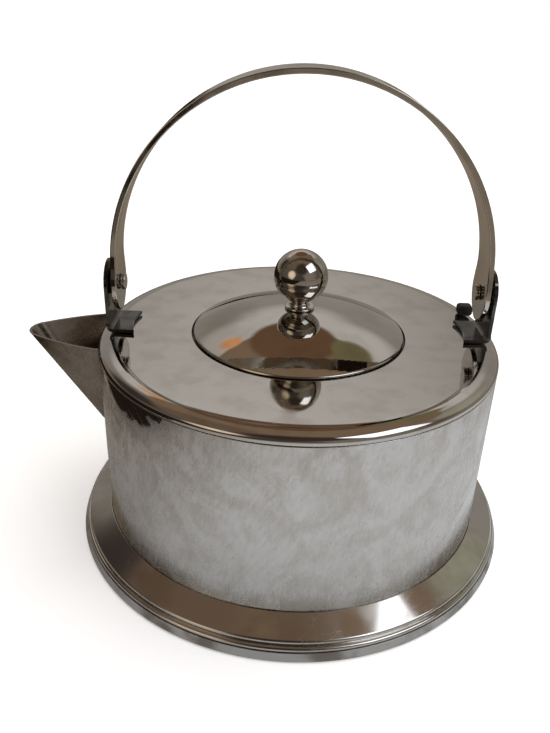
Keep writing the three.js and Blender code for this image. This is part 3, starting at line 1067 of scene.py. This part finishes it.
@dataclass
class Foot:
    """What the drum stands on: the base plate and the flared foot ring spun over its edge."""

    finishes: Finishes
    sheet: float = 1.0 * MM
    gap: float = 0.3 * MM
    edge: float = 0.2 * MM
    plate_corner: float = 1.6 * MM
    plate_lean: float = 20.0
    slope_top: float = 14.9 * MM
    ridge_top: float = 9.5 * MM
    ridge_inset: float = 4.2 * MM
    ridge: float = 1.3 * MM
    ridge_turn: tuple = (63.0, -45.0)
    bead: float = 1.3 * MM
    bead_turn: tuple = (115.0, -16.0)
    steps: int = 288
    wall: Node = Node("body_wall")
    plate: Node = Node("base_plate")
    ring: Node = Node("foot_ring")

    def build_plate(self) -> bpy.types.Object:
        """The base plate: a flat disc, a rounded corner, and an edge that leans in as it rises.

        Returns:
            The piece.
        """
        centre = (self.plate.radius - self.plate_corner, self.plate.bottom + self.plate_corner)
        corner = arc(centre, self.plate_corner, -90, self.plate_lean, count=14)
        lean = (self.plate.top - corner[-1, 1]) * math.tan(math.radians(self.plate_lean))
        path = np.vstack([[[0, self.plate.bottom]], corner, [[corner[-1, 0] - lean, self.plate.top]]])
        section = sheet_section(path, self.sheet)
        return turned("base_dish", section, self.steps, self.edge, closed=False)

    def build_ring(self) -> bpy.types.Object:
        """The foot ring: a cone from the wall, a small ridge, a groove and a rolled bead.

        Returns:
            The piece.
        """
        start = self.wall.radius + self.gap
        ridge_radius = self.plate.radius - self.ridge_inset
        fall = (self.slope_top - self.ridge_top) / (ridge_radius - self.wall.radius)
        end = math.radians(self.bead_turn[1])
        bead_radius = self.ring.radius - self.bead * math.cos(end)
        bead_height = self.plate.top + self.gap - self.bead * math.sin(end)
        path = np.vstack([
            [[start, self.slope_top - fall * self.gap]],
            arc((ridge_radius, self.ridge_top - self.ridge), self.ridge, *self.ridge_turn, count=14),
            arc((bead_radius, bead_height), self.bead, *self.bead_turn, count=18),
        ])
        return turned("foot_flare", sheet_section(path, -self.sheet), self.steps, self.edge)

    def build(self) -> None:
        """Builds and dresses the base, and dresses the heat core that is sealed inside it."""
        install(self.build_plate(), self.finishes.underside, "base_plate", Body.KETTLE)
        install(self.build_ring(), self.finishes.foot, "foot_ring", Body.KETTLE)
        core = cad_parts["heat_core"]
        core.data.materials.clear()
        core.data.materials.append(self.finishes.core)


@dataclass
class Spout:
    """The spout: an open half cone of sheet, folded about its keel and soldered to the wall."""

    finishes: Finishes
    sheet: float = 1.0 * MM
    gap: float = 0.3 * MM
    edge: float = 0.22 * MM
    depth: float = 54.0 * MM
    half_width: float = 21.0 * MM
    nose_radius: float = 9.0 * MM
    side_crown: float = 1.2 * MM
    root_points: int = 12
    rows: int = 24
    wall: Node = Node("body_wall")
    node: Node = Node("spout")

    def rim(self, inset: float) -> np.ndarray:
        """The rim from above: crowned sides between the drum and the nose's circle, mirrored in y.

        Args:
            inset: how far inside the outer rim this one lies.

        Returns:
            Points from the far side of the drum round the nose to the near side.
        """
        radius = self.nose_radius - inset
        half = self.half_width - inset
        centre = self.node.low[0] + self.nose_radius
        wall_point = np.array([-self.wall.radius, half])
        to_wall = wall_point - np.array([centre, 0])
        distance = np.linalg.norm(to_wall)
        touch = math.atan2(to_wall[1], to_wall[0]) + math.acos(radius / distance)
        touch_point = np.array([centre + radius * math.cos(touch), radius * math.sin(touch)])
        side = wall_point - touch_point
        outward = np.array([-side[1], side[0]]) / np.linalg.norm(side) * 2 * self.side_crown
        crown = bezier([wall_point, (touch_point + wall_point) / 2 + outward, touch_point], count=24)
        drum_x = -math.sqrt((self.wall.radius + self.gap) ** 2 - half**2)
        root = column_of(np.linspace(drum_x, -self.wall.radius, self.root_points), half)
        nose = arc((centre, 0), radius, math.degrees(touch), 180, count=20)
        far_side = np.vstack([root[:-1], crown[:-1], nose])
        return np.vstack([far_side, far_side[-2::-1] * np.array([1, -1])])

    def cone(self, inset: float, lift: float) -> np.ndarray:
        """Lines from the apex to the rim, each cut where it leaves the drum.

        A line's point is apex + t (rim - apex). Its start t is the larger root of
        q t^2 - 2 R dx t - c = 0, where the line is R + gap from the drum's axis.

        Args:
            inset: how far inside the outer rim the cone's rim lies.
            lift: how far the apex is raised.

        Returns:
            A grid of points: rows up the cone, columns round the rim.
        """
        rim = self.rim(inset)
        dx = rim[:, 0] + self.wall.radius
        q = dx**2 + rim[:, 1] ** 2
        c = (self.wall.radius + self.gap) ** 2 - self.wall.radius**2
        start = (self.wall.radius * dx + np.sqrt((self.wall.radius * dx) ** 2 + q * c)) / q
        t = start + (1 - start) * np.linspace(0, 1, self.rows)[:, None]
        foot = self.node.top - self.depth + lift
        x = -self.wall.radius + t * dx
        return np.stack([x, t * rim[:, 1], foot + t * (self.node.top - foot)], axis=-1)

    def build(self) -> None:
        """Builds the outer and inner cones as one closed grid, and dresses it."""
        slope = self.depth / (self.nose_radius + (-self.wall.radius - self.node.low[0] - self.nose_radius))
        inset = self.sheet * math.hypot(1, 1 / slope)
        grid = np.concatenate([self.cone(0, 0), self.cone(inset, inset * slope)[::-1]])
        piece = piece_from("spout_cone", [grid], [(True, False)])
        add_broken_edges(piece, self.edge)
        install(piece, self.finishes.spout, "spout", Body.KETTLE)


@dataclass
class Handle:
    """The bail handle: a flat strap bent to an arch, with a leaf-shaped eye at each end."""

    finishes: Finishes
    thickness: float = 2.4 * MM
    width: float = 20.0 * MM
    eye_width: float = 24.0 * MM
    eye_rise: float = 17.0 * MM
    eye_drop: float = 13.6 * MM
    eye_tip: float = 5.0 * MM
    hole_radius: float = 2.6 * MM
    edge: float = 0.45 * MM
    leg_rows: int = 64
    seam: int = 6
    columns: int = 11
    node: Node = Node("handle_strap")
    pivot: Node = Node("rear_pivot_spacer")

    @property
    def pivot_height(self) -> float:
        """Height of the hinge line."""
        return (self.pivot.bottom + self.pivot.top) / 2

    @property
    def bend(self) -> float:
        """Radius of the strap's middle layer on the arch."""
        return self.node.high[0] - self.thickness / 2

    @property
    def arch_centre(self) -> float:
        """Height of the arch's centre."""
        return self.node.top - self.node.high[0]

    def bent(self, flat: np.ndarray) -> np.ndarray:
        """Bends the flat strap over the arch, (B sin t, w, c + B cos t), and straight down both legs.

        Args:
            flat: points as (length from the top of the arch, width).

        Returns:
            The points in space.
        """
        length, width = flat[..., 0], flat[..., 1]
        quarter = self.bend * QUARTER_TURN
        turn = np.clip(length, -quarter, quarter) / self.bend
        leg = np.abs(length) - quarter
        height = self.arch_centre + self.bend * np.cos(turn) - np.maximum(leg, 0)
        return np.stack([self.bend * np.sin(turn), width, height], axis=-1)

    def build(self) -> None:
        """Builds the arch as a ladder of rows and each eye as rays round its hole, and dresses it."""
        pivot = self.bend * QUARTER_TURN + self.arch_centre - self.pivot_height
        half, eye = self.width / 2, self.eye_width / 2
        swell = bezier([
            (pivot - self.eye_rise, half),
            (pivot - self.eye_rise / 2, half),
            (pivot - self.eye_rise / 3, eye),
            (pivot, eye),
        ], count=16)
        close = bezier([
            (pivot, eye),
            (pivot + self.eye_drop / 2, eye),
            (pivot + self.eye_drop, self.eye_tip),
            (pivot + self.eye_drop, 0),
        ], count=20)
        straight = np.linspace(0, pivot - self.eye_rise, self.leg_rows)
        side = np.vstack([column_of(straight[:-1], half), swell[: self.seam + 1]])
        side = np.vstack([side[:0:-1] * np.array([-1, 1]), side])
        across = np.linspace(-1, 1, self.columns)
        ladder = ladder_of(side, across)
        leaf = np.vstack([swell[self.seam : -1], close])
        seam_row = row_of(leaf[0, 0], leaf[0, 1] * across[::-1])
        border = np.vstack([leaf * np.array([1, -1]), leaf[-2:0:-1], seam_row[:-1]])
        grids = [self.bent(ladder)]
        for end in Side:
            sign = end.value
            grids.append(self.bent(ray_ring(border * sign, (pivot * sign, 0), self.hole_radius, count=9)))
        rings = [(False, False), (False, True), (False, True)]
        piece = piece_from("strap_handle", grids, rings, inside=(0, 0, self.arch_centre))
        add_sheet_thickness(piece, self.thickness, 0)
        add_broken_edges(piece, self.edge)
        install(piece, self.finishes.strap, "handle_strap", Body.HANDLE)


@dataclass
class PivotMount:
    """One end's fittings: the bent ear, the rivet through it and the spacer beside the strap."""

    finishes: Finishes
    side: Side
    gap: float = 0.3 * MM
    sheet: float = 1.5 * MM
    bend: float = 3.0 * MM
    plate_half: float = 11.3 * MM
    tongue_half: float = 10.5 * MM
    fillet: float = 0.8 * MM
    wing: float = 1.9 * MM
    plate_length: float = 10.6 * MM
    edge: float = 0.35 * MM
    hole_radius: float = 2.8 * MM
    rivet_radius: float = 2.5 * MM
    head_radius: float = 3.8 * MM
    head_height: float = 1.8 * MM
    outer_head_radius: float = 4.6 * MM
    outer_head_rise: float = 1.4 * MM
    foot_rows: int = 8
    bend_rows: int = 9
    tongue_rows: int = 5
    crown_rows: int = 9
    columns: int = 13
    steps: int = 96
    ear: Node = Node("rear_ear")
    spacer: Node = Node("rear_pivot_spacer")
    rivet: Node = Node("rear_pivot_rivet")

    @property
    def pivot_height(self) -> float:
        """Height of the hinge line."""
        return (self.spacer.bottom + self.spacer.top) / 2

    def name(self, what: str) -> str:
        """A piece's name with its side in front."""
        return f"{self.side.name.lower()}_{what}"

    def bent(self, flat: np.ndarray) -> np.ndarray:
        """Bends the flat ear: a flat foot, a quarter bend, (B sin t, w, B - B cos t), an upright tongue.

        Args:
            flat: points as (length from the bend's start, width).

        Returns:
            The points in space.
        """
        length, width = flat[..., 0], flat[..., 1]
        turn = np.clip(length / self.bend, 0, QUARTER_TURN)
        rise = np.maximum(length - self.bend * QUARTER_TURN, 0)
        x = self.ear.high[0] - self.bend + np.minimum(length, 0) + self.bend * np.sin(turn)
        z = self.ear.bottom + self.bend * (1 - np.cos(turn)) + rise
        return np.stack([self.side.value * x, width, z], axis=-1)

    def build_ear(self) -> bpy.types.Object:
        """The ear: rows from the foot's hollow inner edge over the bend, and rays round the rivet's hole.

        Returns:
            The piece.
        """
        across = np.linspace(-1, 1, self.columns)
        bend_end = self.bend * QUARTER_TURN
        upright = bend_end - self.ear.bottom - self.bend
        inner = self.bend - self.plate_length
        hollow = inner - self.wing + self.wing * (1 - across**2)
        foot = np.linspace(hollow, 0, self.foot_rows)
        foot_grid = np.stack([foot, np.broadcast_to(self.plate_half * across, foot.shape)], axis=-1)
        shoulder_centre = (bend_end + self.fillet, self.tongue_half + self.fillet)
        shoulder = arc(shoulder_centre, self.fillet, 180, 270, count=8)
        bend_side = column_of(np.linspace(0, bend_end - self.edge, self.bend_rows)[1:], self.plate_half)
        pivot = self.pivot_height + upright
        top_centre = self.ear.top + upright - self.tongue_half
        seam = pivot - self.tongue_half
        tongue_run = np.linspace(shoulder[-1, 0], seam, self.tongue_rows)[1:]
        side = np.vstack([bend_side, shoulder, column_of(tongue_run, self.tongue_half)])
        ladder = np.concatenate([foot_grid, ladder_of(side, across)])
        crown = arc((top_centre, 0), self.tongue_half, -90, 90, count=41)
        lower = column_of(np.linspace(seam, top_centre, self.crown_rows)[:-1], -self.tongue_half)
        seam_row = row_of(seam, self.tongue_half * across[::-1])
        border = np.vstack([lower, crown, lower[:0:-1] * np.array([1, -1]), seam_row[:-1]])
        ring = ray_ring(border, (pivot, 0), self.hole_radius, count=8)
        grids = [self.bent(ladder), self.bent(ring)]
        rings = [(False, False), (False, True)]
        piece = piece_from(self.name("ear_plate"), grids, rings, inside=(0, 0, self.ear.top))
        add_sheet_thickness(piece, self.sheet, -1)
        add_broken_edges(piece, self.edge)
        return piece

    def on_pivot(self, name: str, profile: np.ndarray, closed: bool) -> bpy.types.Object:
        """Turns a profile round the hinge line.

        Args:
            name: the piece's name.
            profile: points as (radius, distance along X).
            closed: whether the profile closes on itself.

        Returns:
            The piece.
        """
        grid = lathed(held(broken(profile, self.edge, closed), closed), self.steps)
        side, height = self.side.value, self.pivot_height
        placed = np.stack([side * grid[..., 2], grid[..., 0], grid[..., 1] + height], axis=-1)
        return piece_from(name, [placed], [(closed, True)], inside=(side * self.ear.high[0], 0, height))

    def build_rivet(self) -> bpy.types.Object:
        """The rivet: a thick flat head inside the strap, a shank and a low domed head outside the ear.

        Returns:
            The piece.
        """
        inner, outer = self.rivet.low[0], self.ear.high[0] + self.gap
        shoulder = inner + self.head_height
        dome = (self.outer_head_radius**2 + self.outer_head_rise**2) / (2 * self.outer_head_rise)
        start = math.degrees(math.asin(1 - self.outer_head_rise / dome))
        domed = arc((0, outer + self.outer_head_rise - dome), dome, start, 90, count=14)
        profile = np.vstack([
            [[0, inner], [self.head_radius, inner], [self.head_radius, shoulder]],
            [[self.rivet_radius, shoulder], [self.rivet_radius, outer]],
            domed[:-1],
            [[0, outer + self.outer_head_rise]],
        ])
        return self.on_pivot(self.name("rivet"), profile, closed=False)

    def build_spacer(self) -> bpy.types.Object:
        """The spacer washer between strap and tongue.

        Returns:
            The piece.
        """
        low, high = self.spacer.low[0], self.spacer.high[0]
        radius = (self.spacer.top - self.spacer.bottom) / 2
        section = washer_section(self.hole_radius, radius, low, high)
        return self.on_pivot(self.name("spacer"), section, closed=True)

    def build(self) -> None:
        """Builds and dresses this side's fittings."""
        finishes, kettle = self.finishes, Body.KETTLE
        ear, rivet, spacer = (self.name(node) for node in ("ear", "pivot_rivet", "pivot_spacer"))
        install(self.build_ear(), finishes.ear, ear, kettle)
        install(self.build_rivet(), finishes.small_mirror, rivet, kettle)
        install(self.build_spacer(), finishes.washer, spacer, kettle)


@dataclass
class Lid:
    """The lift-off lid: dome, skirt, and the ball knob on its neck with the screw that holds it."""

    finishes: Finishes
    sheet: float = 1.0 * MM
    gap: float = 0.3 * MM
    edge: float = 0.2 * MM
    lip: float = 2.2 * MM
    skirt_play: float = 0.6 * MM
    ledge_width: float = 3.2 * MM
    lid_play: float = 1.0 * MM
    knob_radius: float = 12.5 * MM
    knob_seat: float = 5.0 * MM
    knob_waist: float = 4.4 * MM
    foot_round: float = 80.0
    lip_edge: float = 0.6 * MM
    screw_radius: float = 2.0 * MM
    pan_flat: float = 0.6
    pan_corner: float = 0.25
    steps: int = 224
    knob_steps: int = 144
    deck: Node = Node("top_deck")
    dome: Node = Node("lid_dome")
    skirt: Node = Node("lid_skirt")
    foot: Node = Node("knob_foot_ring")
    ball: Node = Node("knob_ball")
    washer: Node = Node("knob_lock_washer")
    screw: Node = Node("knob_screw")

    @property
    def rise(self) -> float:
        """Height of the dome above the deck."""
        return self.foot.bottom - self.deck.top

    @property
    def dome_radius(self) -> float:
        """Radius of the sphere that the dome is cut from."""
        return (self.dome.radius**2 + self.rise**2) / (2 * self.rise)

    @property
    def dome_centre(self) -> float:
        """Height of that sphere's centre."""
        return self.foot.bottom - self.dome_radius

    @property
    def hole(self) -> float:
        """Radius of the screw's hole."""
        return self.screw_radius + self.gap

    @property
    def knob_centre(self) -> float:
        """Height of the ball's centre."""
        return self.ball.top - self.knob_radius

    @property
    def seat_height(self) -> float:
        """Height of the flat on which the ball sits."""
        return self.knob_centre - math.sqrt(self.knob_radius**2 - self.knob_seat**2)

    def underside(self, radius: float) -> float:
        """Height of the dome's inner surface at a radius."""
        return self.dome_centre + math.sqrt((self.dome_radius - self.sheet) ** 2 - radius**2)

    def build_dome(self) -> bpy.types.Object:
        """The dome: a cap of a sphere with a short turned-down lip.

        Returns:
            The piece.
        """
        start = math.degrees(math.acos(self.hole / self.dome_radius))
        end = math.degrees(math.acos(self.dome.radius / self.dome_radius))
        path = np.vstack([
            arc((0, self.dome_centre), self.dome_radius, start, end, count=48),
            [[self.dome.radius, self.deck.top - self.lip]],
        ])
        return turned("lid_cap", sheet_section(path, -self.sheet), self.steps, self.lip_edge)

    def build_skirt(self) -> bpy.types.Object:
        """The skirt: a short tube under the dome.

        Returns:
            The piece.
        """
        outer = self.dome.radius + self.lid_play - self.ledge_width - self.skirt_play
        inner = outer - self.sheet
        profile = np.array([
            [inner, self.skirt.bottom],
            [outer, self.skirt.bottom],
            [outer, self.underside(outer) - self.gap],
            [inner, self.underside(inner) - self.gap],
        ])
        return turned("lid_guide", profile, self.steps, self.edge)

    def build_ball(self) -> bpy.types.Object:
        """The ball: a sphere with a small flat below, bored for the screw.

        Returns:
            The piece.
        """
        start = math.degrees(math.asin((self.seat_height - self.knob_centre) / self.knob_radius))
        bore_top = self.screw.top + self.gap
        profile = np.vstack([
            [[0, bore_top], [self.hole, bore_top], [self.hole, self.seat_height]],
            arc((0, self.knob_centre), self.knob_radius, start, 90, count=64)[:-1],
            [[0, self.ball.top]],
        ])
        return turned("ball_knob", profile, self.knob_steps, self.edge, closed=False)

    def build_neck(self) -> bpy.types.Object:
        """The neck: a collar whose side is a quadratic curve drawn in at the waist.

        Returns:
            The piece.
        """
        low, high = self.foot.top, self.seat_height
        middle = (2 * self.knob_waist - self.knob_seat, (low + high) / 2)
        side = bezier([(self.knob_seat, low), middle, (self.knob_seat, high)], count=14)
        profile = np.vstack([[[self.hole, low]], side, [[self.hole, high]]])
        return turned("knob_collar", profile, self.knob_steps, self.edge)

    def build_foot(self) -> bpy.types.Object:
        """The ring under the neck, its outer edge a half round.

        Returns:
            The piece.
        """
        half = (self.foot.top - self.foot.bottom) / 2
        centre = (self.foot.radius - half, self.foot.bottom + half)
        edge = arc(centre, half, -self.foot_round, self.foot_round, count=14)
        profile = np.vstack([[[self.hole, self.foot.bottom]], edge, [[self.hole, self.foot.top]]])
        return turned("knob_foot", profile, self.knob_steps, self.edge)

    def build_washer(self) -> bpy.types.Object:
        """The lock washer under the dome.

        Returns:
            The piece.
        """
        washer = self.washer
        section = washer_section(self.hole, washer.radius, washer.bottom, washer.top)
        return turned("lid_washer", section, self.knob_steps, self.edge)

    def build_screw(self) -> bpy.types.Object:
        """The screw: a pan head below and a shank up into the ball.

        Returns:
            The piece.
        """
        head, low, shoulder = self.screw.radius, self.screw.bottom, self.washer.bottom
        flat_end = (self.pan_flat * head, low)
        side_start = (head, shoulder - self.pan_corner * head)
        profile = np.vstack([
            [[0, low]],
            bezier([flat_end, (head, low), side_start], count=8),
            [[head, shoulder], [self.screw_radius, shoulder]],
            [[self.screw_radius, self.screw.top], [0, self.screw.top]],
        ])
        return turned("lid_screw", profile, self.knob_steps, self.edge, closed=False)

    def build(self) -> None:
        """Builds and dresses the lid's pieces."""
        install(self.build_dome(), self.finishes.lid, "lid_dome", Body.LID)
        install(self.build_skirt(), self.finishes.inside, "lid_skirt", Body.LID)
        install(self.build_ball(), self.finishes.small_mirror, "knob_ball", Body.LID)
        install(self.build_neck(), self.finishes.small_mirror, "knob_neck", Body.LID)
        install(self.build_foot(), self.finishes.small_mirror, "knob_foot_ring", Body.LID)
        install(self.build_washer(), self.finishes.washer, "knob_lock_washer", Body.LID)
        install(self.build_screw(), self.finishes.washer, "knob_screw", Body.LID)


@dataclass
class Bumper:
    """The rubber block on the deck, under the handle when it is folded back."""

    finishes: Finishes
    corner: float = 1.6 * MM
    edge: float = 0.7 * MM
    edge_rows: int = 6
    node: Node = Node("handle_bumper")

    def build(self) -> None:
        """Builds the block: a rounded rectangle carried along Y, drawn in at both ends, and dresses it."""
        half = (self.node.high - self.node.low) / 2
        centre = (self.node.high + self.node.low) / 2
        reach = half[[0, 2]] - self.corner
        quarters = ((1, 1, 0), (-1, 1, 90), (-1, -1, 180), (1, -1, 270))
        outline = np.vstack([
            arc((x * reach[0], z * reach[1]), self.corner, start, start + 90, count=8)
            for x, z, start in quarters
        ])
        turn = np.linspace(0, QUARTER_TURN, self.edge_rows)
        inset = self.edge * (1 - np.sin(turn))
        along = -half[1] + self.edge * (1 - np.cos(turn))
        inset = np.concatenate([[half[0]], inset, inset[::-1], [half[0]]])
        along = np.concatenate([along[:1], along, -along[::-1], -along[:1]])
        share = 1 - inset / half[0]
        grid = np.stack([
            centre[0] + share[:, None] * outline[:, 0],
            centre[1] + np.repeat(along[:, None], len(outline), axis=1),
            centre[2] + share[:, None] * outline[:, 1],
        ], axis=-1)
        piece = piece_from("rest_block", [grid], [(False, True)], tuple(centre))
        install(piece, self.finishes.rubber, "handle_bumper", Body.KETTLE)


# Studio


def heading(azimuth: float, elevation: float) -> Vector:
    """Unit vector towards an azimuth (0 is +Y, 90 is +X) and an elevation, in degrees."""
    turn, rise = math.radians(azimuth), math.radians(elevation)
    return Vector((math.sin(turn) * math.cos(rise), math.cos(turn) * math.cos(rise), math.sin(rise)))


@dataclass(frozen=True)
class Patch:
    """A round patch of the room, whole within its core and gone at its reach, both in degrees."""

    azimuth: float
    elevation: float
    core: float
    reach: float
    colour: str


@dataclass
class Studio:
    """A pale floor, soft light from a plain room with one window, and the photograph's camera.

    The steel shows the room as it mirrors it, so the room is a soft drawing of walls, ceiling and a
    few large patches by direction. Angles are in degrees. The window and its distance are in metres.
    """

    camera_place: tuple = (-13.6 * MM, -312.0 * MM, 242.8 * MM)
    pitch: float = 27.37
    yaw: float = 0.57
    roll: float = 1.98
    lens: float = 35.285
    pale_wall: str = "#98938d"
    dim_wall: str = "#635950"
    pale_azimuth: float = 12.0
    pale_edges: tuple = (-0.1, 0.75)
    ceiling: str = "#86705c"
    ceiling_core: float = 43.0
    ceiling_reach: float = 45.0
    wall_patches: tuple = (
        Patch(0, 38, 8, 22, "#cbc6c3"),
        Patch(-26, 42, 8, 18, "#cbc6c3"),
        Patch(30, 42, 8, 18, "#cbc6c3"),
        Patch(72, 30, 8, 22, "#a6a594"),
        Patch(-60, 10, 6, 16, "#877764"),
        Patch(-74, 28, 10, 24, "#403734"),
        Patch(145, 15, 20, 40, "#857c76"),
        Patch(-136, 18, 8, 20, "#ffe9cd"),
        Patch(-172, 0, 16, 30, "#4b4340"),
    )
    ceiling_patches: tuple = (
        Patch(0, 54, 14, 17, "#6f533e"),
        Patch(34, 50, 6, 9, "#7c7455"),
        Patch(-30, 43, 2, 5, "#e8a672"),
        Patch(-100, 57, 14, 26, "#736051"),
        Patch(180, 48, 16, 32, "#40352f"),
    )
    backdrop: str = "#ffffff"
    floor_half: float = 12.0
    floor_colour: str = "#f4f4f4"
    floor_glow: float = 0.4
    # Painted light on the floor that the steel mirrors: paler and cooler round a place towards the window,
    # fading to a dim grey farther off.
    near_floor: str = "#d4d8dc"
    near_place: tuple = (90 * MM, -95 * MM, 0)
    near_reach: float = 130 * MM
    far_floor: str = "#8b8274"
    far_reach: float = 360 * MM
    dark_floor: str = "#241d18"
    dark_edge: tuple = (-206.04 * MM, -197.96 * MM)
    day_strength: float = 2.0
    day_azimuth: float = 60.0
    day_elevation: float = 70.0
    day_angle: float = 70.0
    window_azimuth: float = 122.0
    window_elevation: float = 45.0
    window_distance: float = 2.0
    window_size: tuple = (1.2, 1.1)
    window_power: float = 9.5
    window_colour: str = "#eaf3ff"

    def camera(self) -> None:
        """Places the camera: turned up from looking down, tilted by pitch, then by yaw, and rolled."""
        lens = bpy.data.cameras.new("camera")
        lens.lens = self.lens
        camera = bpy.data.objects.new("camera", lens)
        pitch, yaw, roll = (math.radians(angle) for angle in (self.pitch, self.yaw, self.roll))
        camera.matrix_world = (
            Matrix.Translation(self.camera_place)
            @ Matrix.Rotation(-yaw, 4, "Z")
            @ Matrix.Rotation(QUARTER_TURN - pitch, 4, "X")
            @ Matrix.Rotation(roll, 4, "Z")
        )
        bpy.context.scene.collection.objects.link(camera)
        bpy.context.scene.camera = camera

    def floor(self) -> None:
        """A wide square of pale, matt paint under the kettle's base.

        The steel mirrors it with painted light: pale and cool round a place towards the window, greyer the
        farther it lies, and dark past its edge at the left.
        """
        side = np.linspace(-self.floor_half, self.floor_half, 3)
        across, along = np.meshgrid(side, side)
        grid = np.stack([across, along, np.full_like(across, Node("base_plate").bottom)], axis=-1)
        piece = piece_from("floor", [grid], [(False, False)], (0, 0, -1))
        draught = Draught("matt floor paint")
        tree = draught.tree
        # Painted pool of light: the mirrored floor is paler near the window side and dimmer with distance.
        from_near = {"operation": "DISTANCE", "Vector_001": self.near_place}
        reach = add_node(tree, "VectorMath", from_near, {"Vector": draught.place}, "Value")
        far = draught.spread(reach, 0.0, 1.0, (self.near_reach, self.far_reach))
        along_x = {"operation": "DOT_PRODUCT", "Vector_001": (1, 0, 0)}
        place_x = add_node(tree, "VectorMath", along_x, {"Vector": draught.place}, "Value")
        edge = draught.spread(place_x, 0.0, 1.0, self.dark_edge)
        mix = {"data_type": "RGBA", "A_Color": linear(self.dark_floor)}
        tone = draught.colours(far, self.near_floor, self.far_floor)
        tone = add_node(tree, "Mix", mix, {"Factor_Float": edge, "B_Color": tone})
        mirrored = add_node(tree, "BsdfDiffuse", {}, {"Color": tone})
        paint = add_node(tree, "BsdfDiffuse", {"Color": linear(self.floor_colour)})
        glow = add_node(tree, "Emission", {"Strength": self.floor_glow})
        lit = add_node(tree, "AddShader", {}, {"Shader": paint, "Shader_001": glow})
        seen = add_node(tree, "LightPath", {}, output="Is Camera Ray")
        both = add_node(tree, "MixShader", {}, {"Fac": seen, "Shader": mirrored, "Shader_001": lit})
        add_node(tree, "OutputMaterial", {}, {"Surface": both})
        piece.data.materials.append(draught.material)

    def with_patch(
        self, tree: bpy.types.NodeTree, aim: bpy.types.NodeSocket, below: bpy.types.NodeSocket, patch: Patch
    ) -> bpy.types.NodeSocket:
        """Lays a patch over a colour, by the cosine of the angle between a direction and its middle.

        Args:
            tree: the room's node tree.
            aim: the direction.
            below: the colour that the patch covers.
            patch: the patch.

        Returns:
            The new colour.
        """
        middle = heading(patch.azimuth, patch.elevation)
        settings = {"operation": "DOT_PRODUCT", "Vector_001": middle}
        cosine = add_node(tree, "VectorMath", settings, {"Vector": aim}, "Value")
        edges = {
            "interpolation_type": "SMOOTHSTEP",
            "From Min": math.cos(math.radians(patch.reach)),
            "From Max": math.cos(math.radians(patch.core)),
        }
        share = add_node(tree, "MapRange", edges, {"Value": cosine})
        mix = {"data_type": "RGBA", "B_Color": linear(patch.colour)}
        return add_node(tree, "Mix", mix, {"Factor_Float": share, "A_Color": below})

    def room(self) -> None:
        """The room's own light: pale in front, dim behind, a brown ceiling and large soft patches."""
        world = bpy.data.worlds.new("room")
        world.use_nodes = True
        tree = world.node_tree
        tree.nodes.clear()
        aim = add_node(tree, "TexCoord", {}, output="Generated")
        settings = {"operation": "DOT_PRODUCT", "Vector_001": heading(self.pale_azimuth, 0)}
        facing = add_node(tree, "VectorMath", settings, {"Vector": aim}, "Value")
        edges = {
            "interpolation_type": "SMOOTHSTEP",
            "From Min": self.pale_edges[0],
            "From Max": self.pale_edges[1],
        }
        pale = add_node(tree, "MapRange", edges, {"Value": facing})
        mix = {"data_type": "RGBA", "A_Color": linear(self.dim_wall), "B_Color": linear(self.pale_wall)}
        colour = add_node(tree, "Mix", mix, {"Factor_Float": pale})
        above = Patch(0, 90, self.ceiling_core, self.ceiling_reach, self.ceiling)
        for patch in (*self.wall_patches, above, *self.ceiling_patches):
            colour = self.with_patch(tree, aim, colour, patch)
        room = add_node(tree, "Background", {}, {"Color": colour})
        seen = add_node(tree, "LightPath", {}, output="Is Camera Ray")
        sheet = add_node(tree, "Background", {"Color": linear(self.backdrop)})
        both = add_node(tree, "MixShader", {}, {"Fac": seen, "Shader": room, "Shader_001": sheet})
        add_node(tree, "OutputWorld", {}, {"Surface": both})
        bpy.context.scene.world = world

    def light(
        self, name: str, kind: str, azimuth: float, elevation: float, distance: float
    ) -> bpy.types.Object:
        """A light that aims at the deck.

        Args:
            name: the light's name.
            kind: its type.
            azimuth: where it stands, as for heading.
            elevation: how high it stands, as for heading.
            distance: how far from the deck's middle.

        Returns:
            The light.
        """
        lamp = bpy.data.objects.new(name, bpy.data.lights.new(name, kind))
        aim = heading(azimuth, elevation)
        deck = Vector((0, 0, Node("top_deck").top))
        turned_to_deck = aim.to_track_quat("Z", "Y").to_matrix().to_4x4()
        lamp.matrix_world = Matrix.Translation(deck + aim * distance) @ turned_to_deck
        bpy.context.scene.collection.objects.link(lamp)
        return lamp

    def lights(self) -> None:
        """A soft window at the right, and broad daylight that brightens the floor."""
        far = self.window_distance
        window = self.light("window", "AREA", self.window_azimuth, self.window_elevation, far)
        window.data.shape = "RECTANGLE"
        window.data.size, window.data.size_y = self.window_size
        window.data.energy = self.window_power
        window.data.color = linear(self.window_colour)[:3]
        day = self.light("daylight", "SUN", self.day_azimuth, self.day_elevation, far)
        day.data.energy = self.day_strength
        day.data.angle = math.radians(self.day_angle)
        day.visible_glossy = False

    def build(self) -> None:
        """Sets up the camera, floor, room and lights."""
        self.camera()
        self.floor()
        self.room()
        self.lights()
        bpy.context.scene.view_settings.view_transform = "Standard"


def main() -> None:
    """Builds the studio and the kettle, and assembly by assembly."""
    logging.basicConfig(level=logging.INFO, format="%(message)s")
    Studio().build()
    finishes = Finishes()
    assemblies = [
        Drum(finishes),
        Foot(finishes),
        Spout(finishes),
        Handle(finishes),
        *(PivotMount(finishes, side) for side in Side),
        Bumper(finishes),
        Lid(finishes),
    ]
    for assembly in assemblies:
        assembly.build()
        log.info("built the %s", type(assembly).__name__.lower())


if __name__ == "__main__":
    main()
